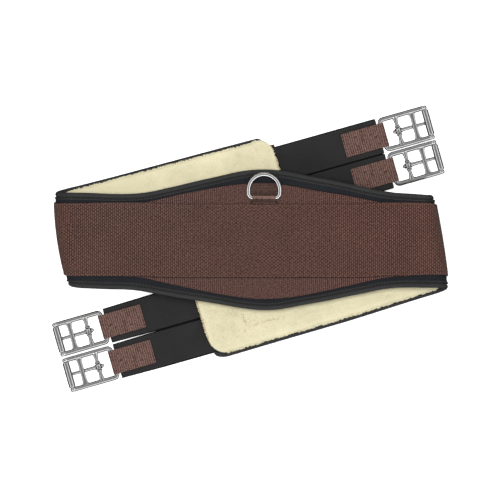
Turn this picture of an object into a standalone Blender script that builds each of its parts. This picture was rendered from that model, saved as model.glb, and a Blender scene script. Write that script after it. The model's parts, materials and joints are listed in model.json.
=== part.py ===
"""A long elasticated saddle girth with roller buckles, folded twice for storage.

The girth is one long padded strap. Its belly lies on top with the strap's outer face up, and at
each end of the belly the girth turns under itself along a slanting fold. The two arms then lie
side by side on the ground with their fleece up, and each ends in a pair of elastics, whose webbing
chapes hold the buckles.

Lengths are in metres and +Z is up. The ground is at Z = 0. s runs along the unfolded girth from
the middle of the belly, t runs across it, and depth runs inwards from the strap's outer face.
"""

import math

import bmesh
import bpy
from mathutils import Matrix, Vector

MM = 0.001
GAP = 0.3 * MM  # between pieces that lie on each other

# The flat girth
PAD_HALF_LENGTH = 471.0 * MM
PAD_HALF_WIDTH = {1: 48.9 * MM, -1: 49.6 * MM}  # on the +t side and on the -t side
PAD_FLARE = {1: 25.1 * MM, -1: 23.8 * MM}  # how much wider the belly is on each side
PAD_TAPER = {1: 0.0, -1: 2.6 * MM}  # how much narrower the pad's ends are on each side
PAD_FLARE_LENGTH = 147.0 * MM  # from the belly's middle to where the flare ends
PAD_CORNER = 15.0 * MM
STRAP_HALF_WIDTH = 38.1 * MM
STRAP_HALF_LENGTH = PAD_HALF_LENGTH - 4.0 * MM
PANEL_HALF_WIDTH = 37.4 * MM  # of the ribbed panel where it goes under the strap
PANEL_FLARE = {1: 22.0 * MM, -1: 26.0 * MM}
PANEL_LENGTH = 131.0 * MM
BINDING_RADIUS = 2.7 * MM

# Layers, from the outer face inwards
STRAP_THICK = 1.8 * MM
PANEL_THICK = 1.0 * MM
SHELL_THICK = 0.8 * MM
FOAM_THICK = 3.0 * MM
FLEECE_THICK = 6.0 * MM
SHELL_DEPTH = STRAP_THICK + GAP
FOAM_DEPTH = SHELL_DEPTH + SHELL_THICK + GAP
FLEECE_DEPTH = FOAM_DEPTH + FOAM_THICK + 2 * GAP
PAD_THICK = FLEECE_DEPTH + FLEECE_THICK
PANEL_DEPTH = SHELL_DEPTH - GAP - PANEL_THICK
STRAP_RISE = STRAP_THICK - (PANEL_DEPTH - GAP)  # the strap climbs this much over the panel
BINDING_DEPTH = 4.5 * MM

# The folds
FOLD_RADIUS = PAD_THICK + 2.0 * MM
BELLY_SAG = 2 * FOLD_RADIUS - 2 * PAD_THICK - 1.0 * MM
SAG_LENGTH = 70.0 * MM
FOLDS = {
    -1: {"lean": math.radians(7.1), "start": 196.3 * MM, "bow": 3.7 * MM, "skew": 1.0 * MM},
    1: {"lean": math.radians(8.45), "start": 169.4 * MM, "bow": 1.3 * MM, "skew": 0.5 * MM},
}
BELLY_CENTRE = Vector((15.0 * MM, 8.5 * MM, 0.0))

# Elastics, chapes and buckles
ELASTIC_WIDTH = 37.0 * MM
ELASTIC_THICK = 2.2 * MM
ELASTIC_ROOT = 28.0 * MM  # the length sewn into the pad
CHAPE_WIDTH = 25.2 * MM
CHAPE_THICK = 1.4 * MM
CHAPE_LENGTH = 42.7 * MM
BAR_RADIUS = 1.9 * MM
BAR_HEIGHT = 3.75 * MM  # of the chape bar above the ground
CLAMP_HEIGHT = 2.9 * MM  # of the elastic's middle where the chape grips it
FRAME_HALF_WIDTH = 15.9 * MM  # to the middle of a rail
RAIL_RADIUS = 2.0 * MM
HINGE_BAR_X = 16.6 * MM
GUIDE_BAR_X = 34.2 * MM
ROLLER_X = 48.7 * MM
LUG_RADIUS = 2.7 * MM
PIN_RADIUS = 1.2 * MM
ROLLER_RADIUS = 3.5 * MM
BUCKLE_PITCH = math.radians(3.5)
# For each arm: the fold it comes from, the yaw of its elastics, their offset across the pad's
# end, their spacing, and how far the chape bars are from the pad's end
ARMS = {
    "right": {"side": -1, "yaw": 15.7, "offset": 0.2 * MM, "spacing": 37.8 * MM, "reach": 113.4 * MM},
    "left": {"side": 1, "yaw": 195.9, "offset": 2.2 * MM, "spacing": 38.6 * MM, "reach": 97.3 * MM},
}

# The ring and its keeper
RING_WIRE = 2.0 * MM
RING_HALF_WIDTH = 16.0 * MM
RING_CORNER = 5.0 * MM
RING_SHOULDER = 8.2 * MM  # where the straight legs end
RING_T = 44.2 * MM
KEEPER_WIDTH = 24.4 * MM
KEEPER_THICK = 1.2 * MM
KEEPER_TOP = 15.2 * MM
KEEPER_BOTTOM = -5.7 * MM

COLOURS = {  # base colour, roughness, metallic
    "brown_webbing": ((0.103, 0.056, 0.047), 0.85, 0.0),
    "brown_ribbed": ((0.112, 0.062, 0.052), 0.85, 0.0),
    "black_cloth": ((0.024, 0.024, 0.025), 0.7, 0.0),
    "foam": ((0.05, 0.05, 0.05), 0.95, 0.0),
    "fleece": ((0.74, 0.67, 0.44), 0.95, 0.0),
    "black_elastic": ((0.03, 0.03, 0.03), 0.75, 0.0),
    "steel": ((0.62, 0.62, 0.61), 0.22, 1.0),
}


def clear_scene():
    for obj in list(bpy.data.objects):
        bpy.data.objects.remove(obj)


def new_collection(name):
    collection = bpy.data.collections.new(name)
    bpy.context.scene.collection.children.link(collection)
    return collection


def make_material(name):
    colour, roughness, metallic = COLOURS[name]
    material = bpy.data.materials.new(name)
    material.use_nodes = True
    shader = material.node_tree.nodes["Principled BSDF"]
    shader.inputs["Base Color"].default_value = (*colour, 1.0)
    shader.inputs["Roughness"].default_value = roughness
    shader.inputs["Metallic"].default_value = metallic
    material.diffuse_color = (*colour, 1.0)
    return material


def smoothstep(value):
    value = min(max(value, 0.0), 1.0)
    return value * value * (3 - 2 * value)


def add_object(name, data, material, parent=None):
    """Puts a mesh or a curve into the girth's collection under its node's name."""
    obj = bpy.data.objects.new(name, data)
    GIRTH.objects.link(obj)
    data.materials.append(material)
    obj.parent = parent
    return obj


# --- The flat girth and how it folds ---


def flare(s, length):
    """From 1 at the belly's middle to 0 at length: a round top, a straight flank and a soft foot."""
    q = min(abs(s) / length, 1.0)
    crown, foot = 0.35, 0.8
    slope = 1 / (crown / 2 + foot - crown + (1 - foot) / 2)
    if q < crown:
        return 1 - slope * q * q / (2 * crown)
    if q < foot:
        return 1 - slope * (q - crown / 2)
    return slope * (1 - q) ** 2 / (2 * (1 - foot))


def pad_edge(s, side, inset=0.0):
    """The pad's half width at s on one side, with its end corners rounded."""
    width = PAD_HALF_WIDTH[side] + PAD_FLARE[side] * flare(s, PAD_FLARE_LENGTH) - inset
    past_flare = (abs(s) - PAD_FLARE_LENGTH) / (PAD_HALF_LENGTH - PAD_FLARE_LENGTH)
    width -= PAD_TAPER[side] * smoothstep(past_flare)
    radius = PAD_CORNER - inset
    into_corner = radius - (PAD_HALF_LENGTH - inset - abs(s))
    if into_corner > 0:
        width -= radius - math.sqrt(max(radius**2 - into_corner**2, 0.0))
    return width


def girth_point(s, t, depth):
    """Where the point s along, t across and depth inside the girth lies once the girth is folded."""
    side = 1 if s > 0 else -1
    fold = FOLDS[side]
    lean, start = fold["lean"], fold["start"]
    ahead = side * (s * math.cos(lean) + t * math.sin(lean))
    along = t * math.cos(lean) - s * math.sin(lean)
    turn = (ahead - start) / FOLD_RADIUS
    if turn <= 0:
        reach = ahead
        z = 2 * FOLD_RADIUS - BELLY_SAG * smoothstep((start - ahead) / SAG_LENGTH) - depth
    elif turn < math.pi:
        across = t / PAD_HALF_WIDTH[1]
        bulge = fold["bow"] * (1 - across**2) - side * fold["skew"] * across
        reach = start + (FOLD_RADIUS - depth + bulge) * math.sin(turn)
        z = FOLD_RADIUS + (FOLD_RADIUS - depth) * math.cos(turn)
    else:
        reach = 2 * start + math.pi * FOLD_RADIUS - ahead
        z = depth
    x = side * reach * math.cos(lean) - along * math.sin(lean)
    y = side * reach * math.sin(lean) + along * math.cos(lean)
    return BELLY_CENTRE + Vector((x, y, z))


def station_tilt(s):
    """The slant of the layers' cross lines: along the fold line in a fold, square elsewhere."""
    fold = FOLDS[1 if s > 0 else -1]
    fold_start = fold["start"] / math.cos(fold["lean"])
    fold_end = fold_start + math.pi * FOLD_RADIUS / math.cos(fold["lean"])
    before = smoothstep((abs(s) - 110 * MM) / (fold_start - 122 * MM))
    after = smoothstep((PAD_HALF_LENGTH - 25 * MM - abs(s)) / (PAD_HALF_LENGTH - fold_end - 35 * MM))
    return fold["lean"] * min(before, after)


def stations(half_length, belly_steps, corner=0.0):
    """Places along the girth, from its -s end to its +s end, close together in the folds."""
    found = []
    for side in (-1, 1):
        fold = FOLDS[side]
        fold_start = fold["start"] / math.cos(fold["lean"])
        fold_length = math.pi * FOLD_RADIUS / math.cos(fold["lean"])
        run = [half for half in belly_steps if half < min(fold_start, half_length)]
        if half_length > fold_start:
            run += [fold_start + fold_length * i / 8 for i in range(9)]
            run += [fold_start + fold_length + 60 * MM, half_length - corner - 60 * MM]
        if corner:
            run += [half_length - corner * (1 - math.sin(math.radians(a))) for a in (0, 35, 62, 90)]
        else:
            run.append(half_length)
        found += [side * value for value in run]
    return sorted(set(found))


def ribbon(name, columns, rows, place, thickness, material, parent=None):
    """A thickened sheet: a grid whose vertex (i, j) goes to place(i, j)."""
    mesh = bpy.data.meshes.new(name)
    sheet = bmesh.new()
    bmesh.ops.create_grid(sheet, x_segments=columns, y_segments=rows, size=1.0)
    for vertex in sheet.verts:
        i = round((vertex.co.x + 1) / 2 * columns)
        j = round((vertex.co.y + 1) / 2 * rows)
        vertex.co = place(i, j)
    sheet.to_mesh(mesh)
    sheet.free()
    obj = add_object(name, mesh, material, parent)
    solidify = obj.modifiers.new("thickness", "SOLIDIFY")
    solidify.thickness = thickness
    solidify.offset = 0.0
    solidify.use_even_offset = True
    return obj


def layer(name, along, lanes, depth, thickness, material):
    """One of the girth's layers. lanes(s) gives the lines that run along it, as places across it."""

    def place(i, j):
        s = along[i]
        t = lanes(s)[j]
        top = depth(s) if callable(depth) else depth
        return girth_point(s - t * math.tan(station_tilt(s)), t, top + thickness / 2)

    return ribbon(name, len(along) - 1, len(lanes(0.0)) - 1, place, thickness, material)


BELLY_STEPS = [18 * MM * i for i in range(9)] + [160 * MM]


def pad_lanes(inset):
    def lanes(s):
        low, high = -pad_edge(s, -1, inset), pad_edge(s, 1, inset)
        inner = min(STRAP_HALF_WIDTH, high - 3 * MM)
        return [low, -inner, 0.0, inner, high]

    return lanes


def strap_lanes(s):
    return [-STRAP_HALF_WIDTH, 0.0, STRAP_HALF_WIDTH]


def panel_lanes(s):
    share = flare(s, PANEL_LENGTH)
    low = -(PANEL_HALF_WIDTH + PANEL_FLARE[-1] * share)
    high = PANEL_HALF_WIDTH + PANEL_FLARE[1] * share
    return [low, 0.0, high]


def strap_depth(s):
    """The strap lies on the shell, and climbs onto the ribbed panel in the belly."""
    return -STRAP_RISE * smoothstep((152 * MM - abs(s)) / (16 * MM))


def make_layers():
    edge = 2 * BINDING_RADIUS + GAP + 0.1 * MM
    pad_stations = stations(PAD_HALF_LENGTH - edge, BELLY_STEPS, PAD_CORNER - edge)
    foam_stations = stations(PAD_HALF_LENGTH - ELASTIC_ROOT - 6 * MM, BELLY_STEPS)
    strap_stations = stations(STRAP_HALF_LENGTH, [0.0, 70 * MM, 136 * MM, 144 * MM, 152 * MM])
    panel_stations = stations(PANEL_LENGTH, [17 * MM * i for i in range(8)])
    brown, ribbed = make_material("brown_webbing"), make_material("brown_ribbed")
    cloth = make_material("black_cloth")
    layer("main_strap", strap_stations, strap_lanes, strap_depth, STRAP_THICK, brown)
    layer("flare_panel", panel_stations, panel_lanes, PANEL_DEPTH, PANEL_THICK, ribbed)
    layer("outer_shell", pad_stations, pad_lanes(edge), SHELL_DEPTH, SHELL_THICK, cloth)
    foam = make_material("foam")
    layer("foam_core", foam_stations, pad_lanes(edge + MM), FOAM_DEPTH, FOAM_THICK, foam)
    fleece = make_material("fleece")
    layer("fleece_lining", pad_stations, pad_lanes(edge), FLEECE_DEPTH, FLEECE_THICK, fleece)
    make_binding("edge_binding_upper", 1, cloth)
    make_binding("edge_binding_lower", -1, cloth)


def tube(name, points, radius, material, resolution=2, cyclic=False, parent=None):
    curve = bpy.data.curves.new(name, "CURVE")
    curve.dimensions = "3D"
    curve.bevel_depth = radius
    curve.bevel_resolution = resolution
    curve.use_fill_caps = True
    spline = curve.splines.new("POLY")
    spline.points.add(len(points) - 1)
    for point, co in zip(spline.points, points):
        point.co = (*co, 1.0)
    spline.use_cyclic_u = cyclic
    return add_object(name, curve, material, parent)


def make_binding(name, side, material):
    """The rolled edge of one long side, which ends part of the way round each corner."""
    last_turn = math.radians(28)
    radius = PAD_CORNER - BINDING_RADIUS
    straight_end = PAD_HALF_LENGTH - PAD_CORNER
    run = [s for s in stations(straight_end, BELLY_STEPS) if abs(s) < straight_end]
    path = []
    for s in run:
        t = side * pad_edge(s, side, BINDING_RADIUS)
        path.append((s - t * math.tan(station_tilt(s)), t))
    for end in (-1, 1):
        corner = []
        for i in range(4):
            turn = last_turn * i / 3
            s = end * (straight_end + radius * math.sin(turn))
            t = side * (PAD_HALF_WIDTH[side] - PAD_TAPER[side] - PAD_CORNER + radius * math.cos(turn))
            corner.append((s, t))
        path = corner[::-1] + path if end < 0 else path + corner
    points = [girth_point(s, t, BINDING_DEPTH) for s, t in path]
    tube(name, points, BINDING_RADIUS, material, resolution=1)


# --- The ring on the belly ---


def arc(centre, radius, first, last, count):
    """Points of an arc in a plane, from the angle first to the angle last in degrees."""
    angles = [math.radians(first + (last - first) * i / count) for i in range(count + 1)]
    return [(centre[0] + radius * math.cos(a), centre[1] + radius * math.sin(a)) for a in angles]


def make_ring(steel, webbing):
    belly_top = girth_point(0.0, RING_T, 0.0)
    panel_face = belly_top.z - PANEL_DEPTH
    pivot = bpy.data.objects.new("ring_pivot", None)
    pivot.location = (belly_top.x, belly_top.y, panel_face + GAP + RING_WIRE)
    GIRTH.objects.link(pivot)
    corner_x = RING_HALF_WIDTH - RING_CORNER
    outline = arc((corner_x, RING_CORNER), RING_CORNER, -90, 0, 4)
    outline += arc((0.0, RING_SHOULDER), RING_HALF_WIDTH, 0, 180, 16)
    outline += arc((-corner_x, RING_CORNER), RING_CORNER, 180, 270, 4)
    points = [(x, y, 0.0) for x, y in outline]
    tube("d_ring", points, RING_WIRE, steel, cyclic=True, parent=pivot)
    flat_z = panel_face + GAP + KEEPER_THICK / 2 - pivot.location.z
    over = arc((0.0, 0.0), RING_WIRE + GAP + KEEPER_THICK / 2, 20, 160, 8)
    shoulder = 4.4 * MM
    profile = [(KEEPER_TOP, flat_z), (shoulder + MM, flat_z), (shoulder, flat_z + 0.3 * MM)]
    profile += over
    profile += [(-shoulder, flat_z + 0.3 * MM), (-shoulder - 0.6 * MM, flat_z), (KEEPER_BOTTOM, flat_z)]

    def place(i, j):
        return Vector(((j - 0.5) * KEEPER_WIDTH, *profile[i]))

    ribbon("ring_keeper", len(profile) - 1, 1, place, KEEPER_THICK, webbing, pivot)


# --- Elastics, chapes and buckles ---


def as_mesh(obj):
    """Turns a curve object into a welded mesh object of the same name and place."""
    bpy.context.view_layer.update()
    graph = bpy.context.evaluated_depsgraph_get()
    mesh = bpy.data.meshes.new_from_object(obj.evaluated_get(graph))
    weld = bmesh.new()
    weld.from_mesh(mesh)
    bmesh.ops.remove_doubles(weld, verts=weld.verts, dist=0.01 * MM)
    weld.to_mesh(mesh)
    weld.free()
    name, parent, world = obj.name, obj.parent, obj.matrix_world.copy()
    old = obj.data
    bpy.data.objects.remove(obj)
    bpy.data.curves.remove(old)
    made = bpy.data.objects.new(name, mesh)
    GIRTH.objects.link(made)
    made.parent = parent
    made.matrix_world = world
    return made


def cylinder(name, radius, length, centre, collection, sides=16):
    """A round bar that lies along Y."""
    mesh = bpy.data.meshes.new(name)
    bar = bmesh.new()
    bmesh.ops.create_cone(
        bar, cap_ends=True, segments=sides, radius1=radius, radius2=radius, depth=length
    )
    bmesh.ops.rotate(bar, verts=bar.verts, matrix=Matrix.Rotation(math.pi / 2, 3, "X"))
    bmesh.ops.translate(bar, verts=bar.verts, vec=centre)
    bar.to_mesh(mesh)
    bar.free()
    obj = bpy.data.objects.new(name, mesh)
    collection.objects.link(obj)
    return obj


def box(name, size, centre, collection):
    mesh = bpy.data.meshes.new(name)
    block = bmesh.new()
    bmesh.ops.create_cube(block, size=1.0)
    bmesh.ops.scale(block, verts=block.verts, vec=size)
    bmesh.ops.translate(block, verts=block.verts, vec=centre)
    block.to_mesh(mesh)
    block.free()
    obj = bpy.data.objects.new(name, mesh)
    collection.objects.link(obj)
    return obj


def combine(obj, tool, operation, parent):
    """Adds a Boolean with a helper, which sits in the same frame as obj and isn't shown."""
    tool.parent = parent
    tool.hide_render = True
    tool.display_type = "WIRE"
    modifier = obj.modifiers.new(tool.name, "BOOLEAN")
    modifier.operation = operation
    modifier.object = tool
    modifier.solver = "EXACT"


def make_frame(tag, holder, steel):
    """The cast frame: a U of round rail with a chape bar, a hinge bar, a guide bar and two lugs."""
    corner = 3.2 * MM
    inner = FRAME_HALF_WIDTH - corner
    outline = [(ROLLER_X - 2 * MM, FRAME_HALF_WIDTH)]
    outline += [(corner - x, y + inner) for x, y in arc((0.0, 0.0), corner, 90, 0, 4)]
    outline += [(corner - x, y - inner) for x, y in arc((0.0, 0.0), corner, 0, -90, 4)]
    outline.append((ROLLER_X - 2 * MM, -FRAME_HALF_WIDTH))
    rail = tube(f"buckle_frame_{tag}", [(x, y, 0.0) for x, y in outline], RAIL_RADIUS, steel, parent=holder)
    frame = as_mesh(rail)
    span = 2 * FRAME_HALF_WIDTH
    parts = [
        cylinder(f"hinge_bar_{tag}", BAR_RADIUS, span, (HINGE_BAR_X, 0, 0), CUTTERS, 12),
        box(f"guide_bar_{tag}", (3.6 * MM, span, 2.2 * MM), (GUIDE_BAR_X, 0, 0.2 * MM), CUTTERS),
    ]
    for side in (-1, 1):
        centre = (ROLLER_X, side * FRAME_HALF_WIDTH, 0)
        parts.append(cylinder(f"lug_{tag}_{side}", LUG_RADIUS, 4.4 * MM, centre, CUTTERS))
    for part in parts:
        combine(frame, part, "UNION", holder)
    bore = cylinder(f"pin_bore_{tag}", PIN_RADIUS + GAP, 50 * MM, (ROLLER_X, 0, 0), CUTTERS)
    combine(frame, bore, "DIFFERENCE", holder)
    return frame


def make_roller(tag, holder, steel):
    """The pin fixed across the lugs, and the tube that turns on it."""
    pin_length = 2 * FRAME_HALF_WIDTH + 4.4 * MM
    pin = cylinder(f"roller_pin_{tag}", PIN_RADIUS, pin_length, (ROLLER_X, 0, 0), GIRTH)
    pin.data.materials.append(steel)
    pin.parent = holder
    length = 2 * FRAME_HALF_WIDTH - 4.4 * MM - 2 * GAP
    roller = cylinder(f"roller_{tag}", ROLLER_RADIUS, length, (0, 0, 0), GIRTH, 20)
    roller.data.materials.append(steel)
    roller.parent = holder
    roller.location.x = ROLLER_X
    bore = cylinder(f"roller_bore_{tag}", PIN_RADIUS + GAP, 50 * MM, (ROLLER_X, 0, 0), CUTTERS)
    combine(roller, bore, "DIFFERENCE", holder)


def make_tongue(tag, holder, steel):
    """The prong: a ring round the hinge bar and a shank that rests on the roller's outer side."""
    shank_radius = 1.4 * MM
    tip_z = -(ROLLER_RADIUS + GAP + shank_radius)
    reach = ROLLER_X - HINGE_BAR_X
    path = [
        (-5.0 * MM, 0, -0.4 * MM),
        (2.6 * MM, 0, -0.6 * MM),
        (9 * MM, 0, -1.7 * MM),
        (GUIDE_BAR_X - HINGE_BAR_X, 0, -3.3 * MM),
        (reach - 3 * MM, 0, tip_z + 0.1 * MM),
        (reach + 1.5 * MM, 0, tip_z),
    ]
    shank = tube(f"tongue_{tag}", path, shank_radius, steel, parent=holder)
    shank.location.x = HINGE_BAR_X
    tongue = as_mesh(shank)
    knuckle = cylinder(f"knuckle_{tag}", 3.6 * MM, 5.4 * MM, (HINGE_BAR_X, 0, 0), CUTTERS)
    combine(tongue, knuckle, "UNION", holder)
    bore = cylinder(f"knuckle_bore_{tag}", BAR_RADIUS + GAP, 20 * MM, (HINGE_BAR_X, 0, 0), CUTTERS, 20)
    combine(tongue, bore, "DIFFERENCE", holder)


def chape_profile():
    """The webbing's middle line in the holder's XZ plane, from under the elastic round the bar."""
    clamp = CLAMP_HEIGHT - BAR_HEIGHT
    grip = ELASTIC_THICK / 2 + GAP + CHAPE_THICK / 2
    loop = BAR_RADIUS + GAP + 0.05 * MM + CHAPE_THICK / 2
    profile = [(-CHAPE_LENGTH, clamp - grip), (-9 * MM, clamp - grip)]
    profile += arc((0.0, 0.0), loop, -95, 95, 10)
    profile += [(-9 * MM, clamp + grip), (-CHAPE_LENGTH, clamp + grip)]
    return profile


def make_buckle_end(tag, arm, lane):
    """One elastic with its chape and buckle. lane is +1 or -1 for the arm's two elastics."""
    side = arm["side"]
    pad_end = girth_point(side * PAD_HALF_LENGTH, 0.0, 0.0)
    yaw = math.radians(arm["yaw"])
    out = Vector((math.cos(yaw), math.sin(yaw), 0.0))
    across = Vector((-out.y, out.x, 0.0))
    bar = pad_end + out * arm["reach"] + across * (arm["offset"] + lane * arm["spacing"] / 2)
    steel, webbing = make_material("steel"), make_material("brown_webbing")

    flat = bpy.data.objects.new(f"chape_holder_{tag}", None)
    flat.location = (bar.x, bar.y, BAR_HEIGHT)
    flat.rotation_euler = (0.0, 0.0, yaw)
    GIRTH.objects.link(flat)
    profile = chape_profile()

    def chape_place(i, j):
        x, z = profile[i]
        return Vector((x, (j - 0.5) * CHAPE_WIDTH, z))

    ribbon(f"chape_{tag}", len(profile) - 1, 1, chape_place, CHAPE_THICK, webbing, flat)

    root_z = FOAM_DEPTH + ELASTIC_THICK / 2 - BAR_HEIGHT
    clamp_z = CLAMP_HEIGHT - BAR_HEIGHT
    first = -arm["reach"]
    run = [
        (first - ELASTIC_ROOT, root_z),
        (first + 2 * MM, root_z),
        (first + 30 * MM, clamp_z),
        (-3.8 * MM, clamp_z),
    ]

    def elastic_place(i, j):
        x, z = run[i]
        return Vector((x, (j - 0.5) * ELASTIC_WIDTH, z))

    elastic = make_material("black_elastic")
    ribbon(f"elastic_{tag}", len(run) - 1, 1, elastic_place, ELASTIC_THICK, elastic, flat)

    holder = bpy.data.objects.new(f"buckle_holder_{tag}", None)
    holder.parent = flat
    holder.rotation_euler = (0.0, -BUCKLE_PITCH, 0.0)
    GIRTH.objects.link(holder)
    make_frame(tag, holder, steel)
    make_roller(tag, holder, steel)
    make_tongue(tag, holder, steel)


def main():
    make_layers()
    make_ring(make_material("steel"), make_material("brown_webbing"))
    for arm_name, arm in ARMS.items():
        for lane, lane_name in ((1, "upper"), (-1, "lower")):
            if arm_name == "left":
                lane = -lane
            make_buckle_end(f"{arm_name}_{lane_name}", arm, lane)


clear_scene()
GIRTH = new_collection("saddle_girth")
CUTTERS = new_collection("cutters")
main()
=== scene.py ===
"""The looks of the saddle girth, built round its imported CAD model.

The girth is one long padded strap, folded twice, with its belly on top. s runs along the unfolded
girth from the middle of the belly, t runs across it, and depth runs inwards from the strap's outer
face. girth_points() folds these coordinates the way the CAD solids are folded. The elastics, chapes
and buckles are built in frames that are read from the joints.

Every piece of cloth carries its own flat coordinates in metres as a UV map, so that weave and ribs
follow the yarn round the folds. Lengths are in metres.
"""

import json
import math

import bpy
import numpy as np
from mathutils import Matrix, Vector

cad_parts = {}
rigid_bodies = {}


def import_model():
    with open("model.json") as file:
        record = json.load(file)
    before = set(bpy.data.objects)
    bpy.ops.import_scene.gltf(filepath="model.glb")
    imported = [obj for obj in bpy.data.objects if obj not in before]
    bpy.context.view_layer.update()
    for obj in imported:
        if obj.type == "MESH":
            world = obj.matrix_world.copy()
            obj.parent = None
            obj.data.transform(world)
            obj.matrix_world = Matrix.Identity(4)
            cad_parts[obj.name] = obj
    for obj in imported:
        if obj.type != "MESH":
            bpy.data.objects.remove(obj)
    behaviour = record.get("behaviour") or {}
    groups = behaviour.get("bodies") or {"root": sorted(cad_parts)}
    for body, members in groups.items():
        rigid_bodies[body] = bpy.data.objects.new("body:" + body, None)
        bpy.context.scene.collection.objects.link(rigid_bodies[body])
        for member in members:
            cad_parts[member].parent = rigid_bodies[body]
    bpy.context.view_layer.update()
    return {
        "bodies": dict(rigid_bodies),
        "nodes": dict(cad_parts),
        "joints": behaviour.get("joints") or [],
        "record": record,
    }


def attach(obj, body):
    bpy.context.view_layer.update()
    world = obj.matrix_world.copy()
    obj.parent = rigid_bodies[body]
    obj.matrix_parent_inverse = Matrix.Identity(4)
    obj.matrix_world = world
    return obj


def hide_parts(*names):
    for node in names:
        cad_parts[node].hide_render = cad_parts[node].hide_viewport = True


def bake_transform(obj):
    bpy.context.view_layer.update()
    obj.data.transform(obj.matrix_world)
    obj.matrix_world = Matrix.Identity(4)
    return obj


MM = 0.001
GAP = 0.3 * MM
SEED = 41


def mm(*values):
    return tuple(value * MM for value in values)


# The flat girth: the CAD model's sizes, with the real cloth's bulges, corners and panel ends
PAD_HALF_LENGTH = 471.0 * MM
PAD_HALF_WIDTH = {1: 48.9 * MM, -1: 49.6 * MM}
PAD_FLARE = {1: 25.1 * MM, -1: 23.8 * MM}
PAD_TAPER = {1: 0.0, -1: 2.6 * MM}
PAD_FLARE_LENGTH = 147.0 * MM
PAD_FLARE_LENGTHS = {1: mm(134.0, 147.0), -1: mm(157.0, 137.0)}  # either way from the middle
# Where the sides of the pad and of the panel bulge or draw in: each bulge's middle, reach and height
PAD_BULGES = {
    1: (
        mm(-195, 45, 0.9), mm(-150, 22, -0.9), mm(-112, 18, 0.8), mm(-43, 20, -1.0),
        mm(44, 24, -1.5), mm(134, 16, 1.1), mm(175, 12, -1.0),
    ),
    -1: (
        mm(-157, 36, 1.7), mm(-46, 34, -2.6), mm(38, 22, -1.7), mm(109, 20, 1.1), mm(146, 16, -0.4),
    ),
}
PANEL_BULGES = {
    1: (mm(-85, 35, 1.2), mm(46, 30, -2.0)),
    -1: (mm(-110, 40, 0.5), mm(-36, 24, -0.9), mm(25, 40, -0.6)),
}
PAD_CORNER = 21.0 * MM
FLEECE_CORNER = 17.0 * MM
STRAP_HALF_WIDTH = {1: 39.1 * MM, -1: 38.8 * MM}
STRAP_HALF_LENGTH = PAD_HALF_LENGTH - 4.0 * MM
PANEL_HALF_WIDTH = 37.4 * MM
PANEL_FLARE = {1: 22.4 * MM, -1: 24.4 * MM}
PANEL_LENGTH = 146.0 * MM
BEAD_RADIUS = 2.65 * MM
BEAD_DEPTH = 4.5 * MM
STITCH_INSET = 6.1 * MM
SEAM_INSET = 1.6 * MM  # from the strap's edge to the stitches along it
EDGE_INSET = 5.8 * MM  # from the pad's edge to the cloth and the fleece inside the binding

# Layers, from the outer face inwards
STRAP_THICK = 1.7 * MM
STRAP_RISE = 1.15 * MM
PANEL_DEPTH = 0.8 * MM
PANEL_THICK = 1.0 * MM
SHELL_DEPTH = 2.1 * MM
SHELL_THICK = 0.8 * MM
FOAM_DEPTH = 3.2 * MM
FOAM_THICK = 3.0 * MM
FLEECE_DEPTH = 6.8 * MM
PAD_THICK = 12.8 * MM

# The folds
FOLD_RADIUS = 14.8 * MM
BELLY_SAG = 3.0 * MM
SAG_LENGTH = 70.0 * MM
# Each arm is pulled a little longer than it lies flat, and drifts sideways within a reach
FOLDS = {
    -1: {
        "lean": math.radians(7.1), "start": 196.3 * MM, "bow": 3.7 * MM, "skew": 1.0 * MM,
        "pull": 0.0158, "drift": 2.6 * MM, "reach": 220 * MM,
    },
    1: {
        "lean": math.radians(8.45), "start": 169.4 * MM, "bow": 1.3 * MM, "skew": 0.5 * MM,
        "pull": 0.006, "drift": -2.0 * MM, "reach": 110 * MM,
    },
}
BELLY_CENTRE = (15.0 * MM, 8.5 * MM)

# Elastics and chapes
ELASTIC_WIDTH = 37.0 * MM
ELASTIC_THICK = 2.2 * MM
ELASTIC_ROOT = 28.0 * MM
ELASTIC_DEPTH = 4.3 * MM  # of its middle where it is sewn into the pad
CLAMP_HEIGHT = 2.9 * MM  # of the elastic's middle in its chape
BAR_HEIGHT = 3.75 * MM
CHAPE_WIDTH = 25.2 * MM
CHAPE_THICK = 1.4 * MM
CHAPE_LENGTH = 42.7 * MM
BAR_RADIUS = 1.9 * MM
REACHES = {"right": 113.4 * MM, "left": 97.3 * MM}
SPACINGS = {"right": 37.8 * MM, "left": 38.6 * MM}

# Buckles
FRAME_HALF_WIDTH = 15.9 * MM
RAIL_RADIUS = 2.0 * MM
FRAME_CORNER = 3.2 * MM
GUIDE_BAR_X = 34.4 * MM
LUG_LENGTH = 4.4 * MM
PIN_RADIUS = 1.2 * MM
ROLLER_RADIUS = 3.5 * MM

# The ring and its keeper
RING_WIRE = 2.0 * MM
RING_HALF_WIDTH = 16.25 * MM
RING_CORNER = 5.0 * MM
RING_SHOULDER = 8.2 * MM
KEEPER_WIDTH = 24.4 * MM
KEEPER_THICK = 1.2 * MM
KEEPER_TOP = 15.2 * MM
KEEPER_BOTTOM = -6.7 * MM

# Weaves
COLUMN = 2.09 * MM  # from one column of floats to the next, along the strap, and the panel's ribs
FLOAT = 1.66 * MM  # half the length of a float's repeat across the strap
CHAPE_RIB = 2.29 * MM
CHAPE_WAVE = 0.22 * MM
CHAPE_WAVE_LENGTH = 9.0 * MM
KEEPER_RIB = 1.6 * MM
ELASTIC_RIB = 1.55 * MM
STITCH_PITCH = 3.3 * MM
STITCH_LENGTH = 0.6 * STITCH_PITCH
MARK_S = 423.5 * MM  # the pressed mark across the left arm's fleece, and the one along it
MARK_T = -23.3 * MM


# --- The folded girth ---


def smoothstep(value):
    value = np.clip(value, 0.0, 1.0)
    return value * value * (3 - 2 * value)


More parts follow.
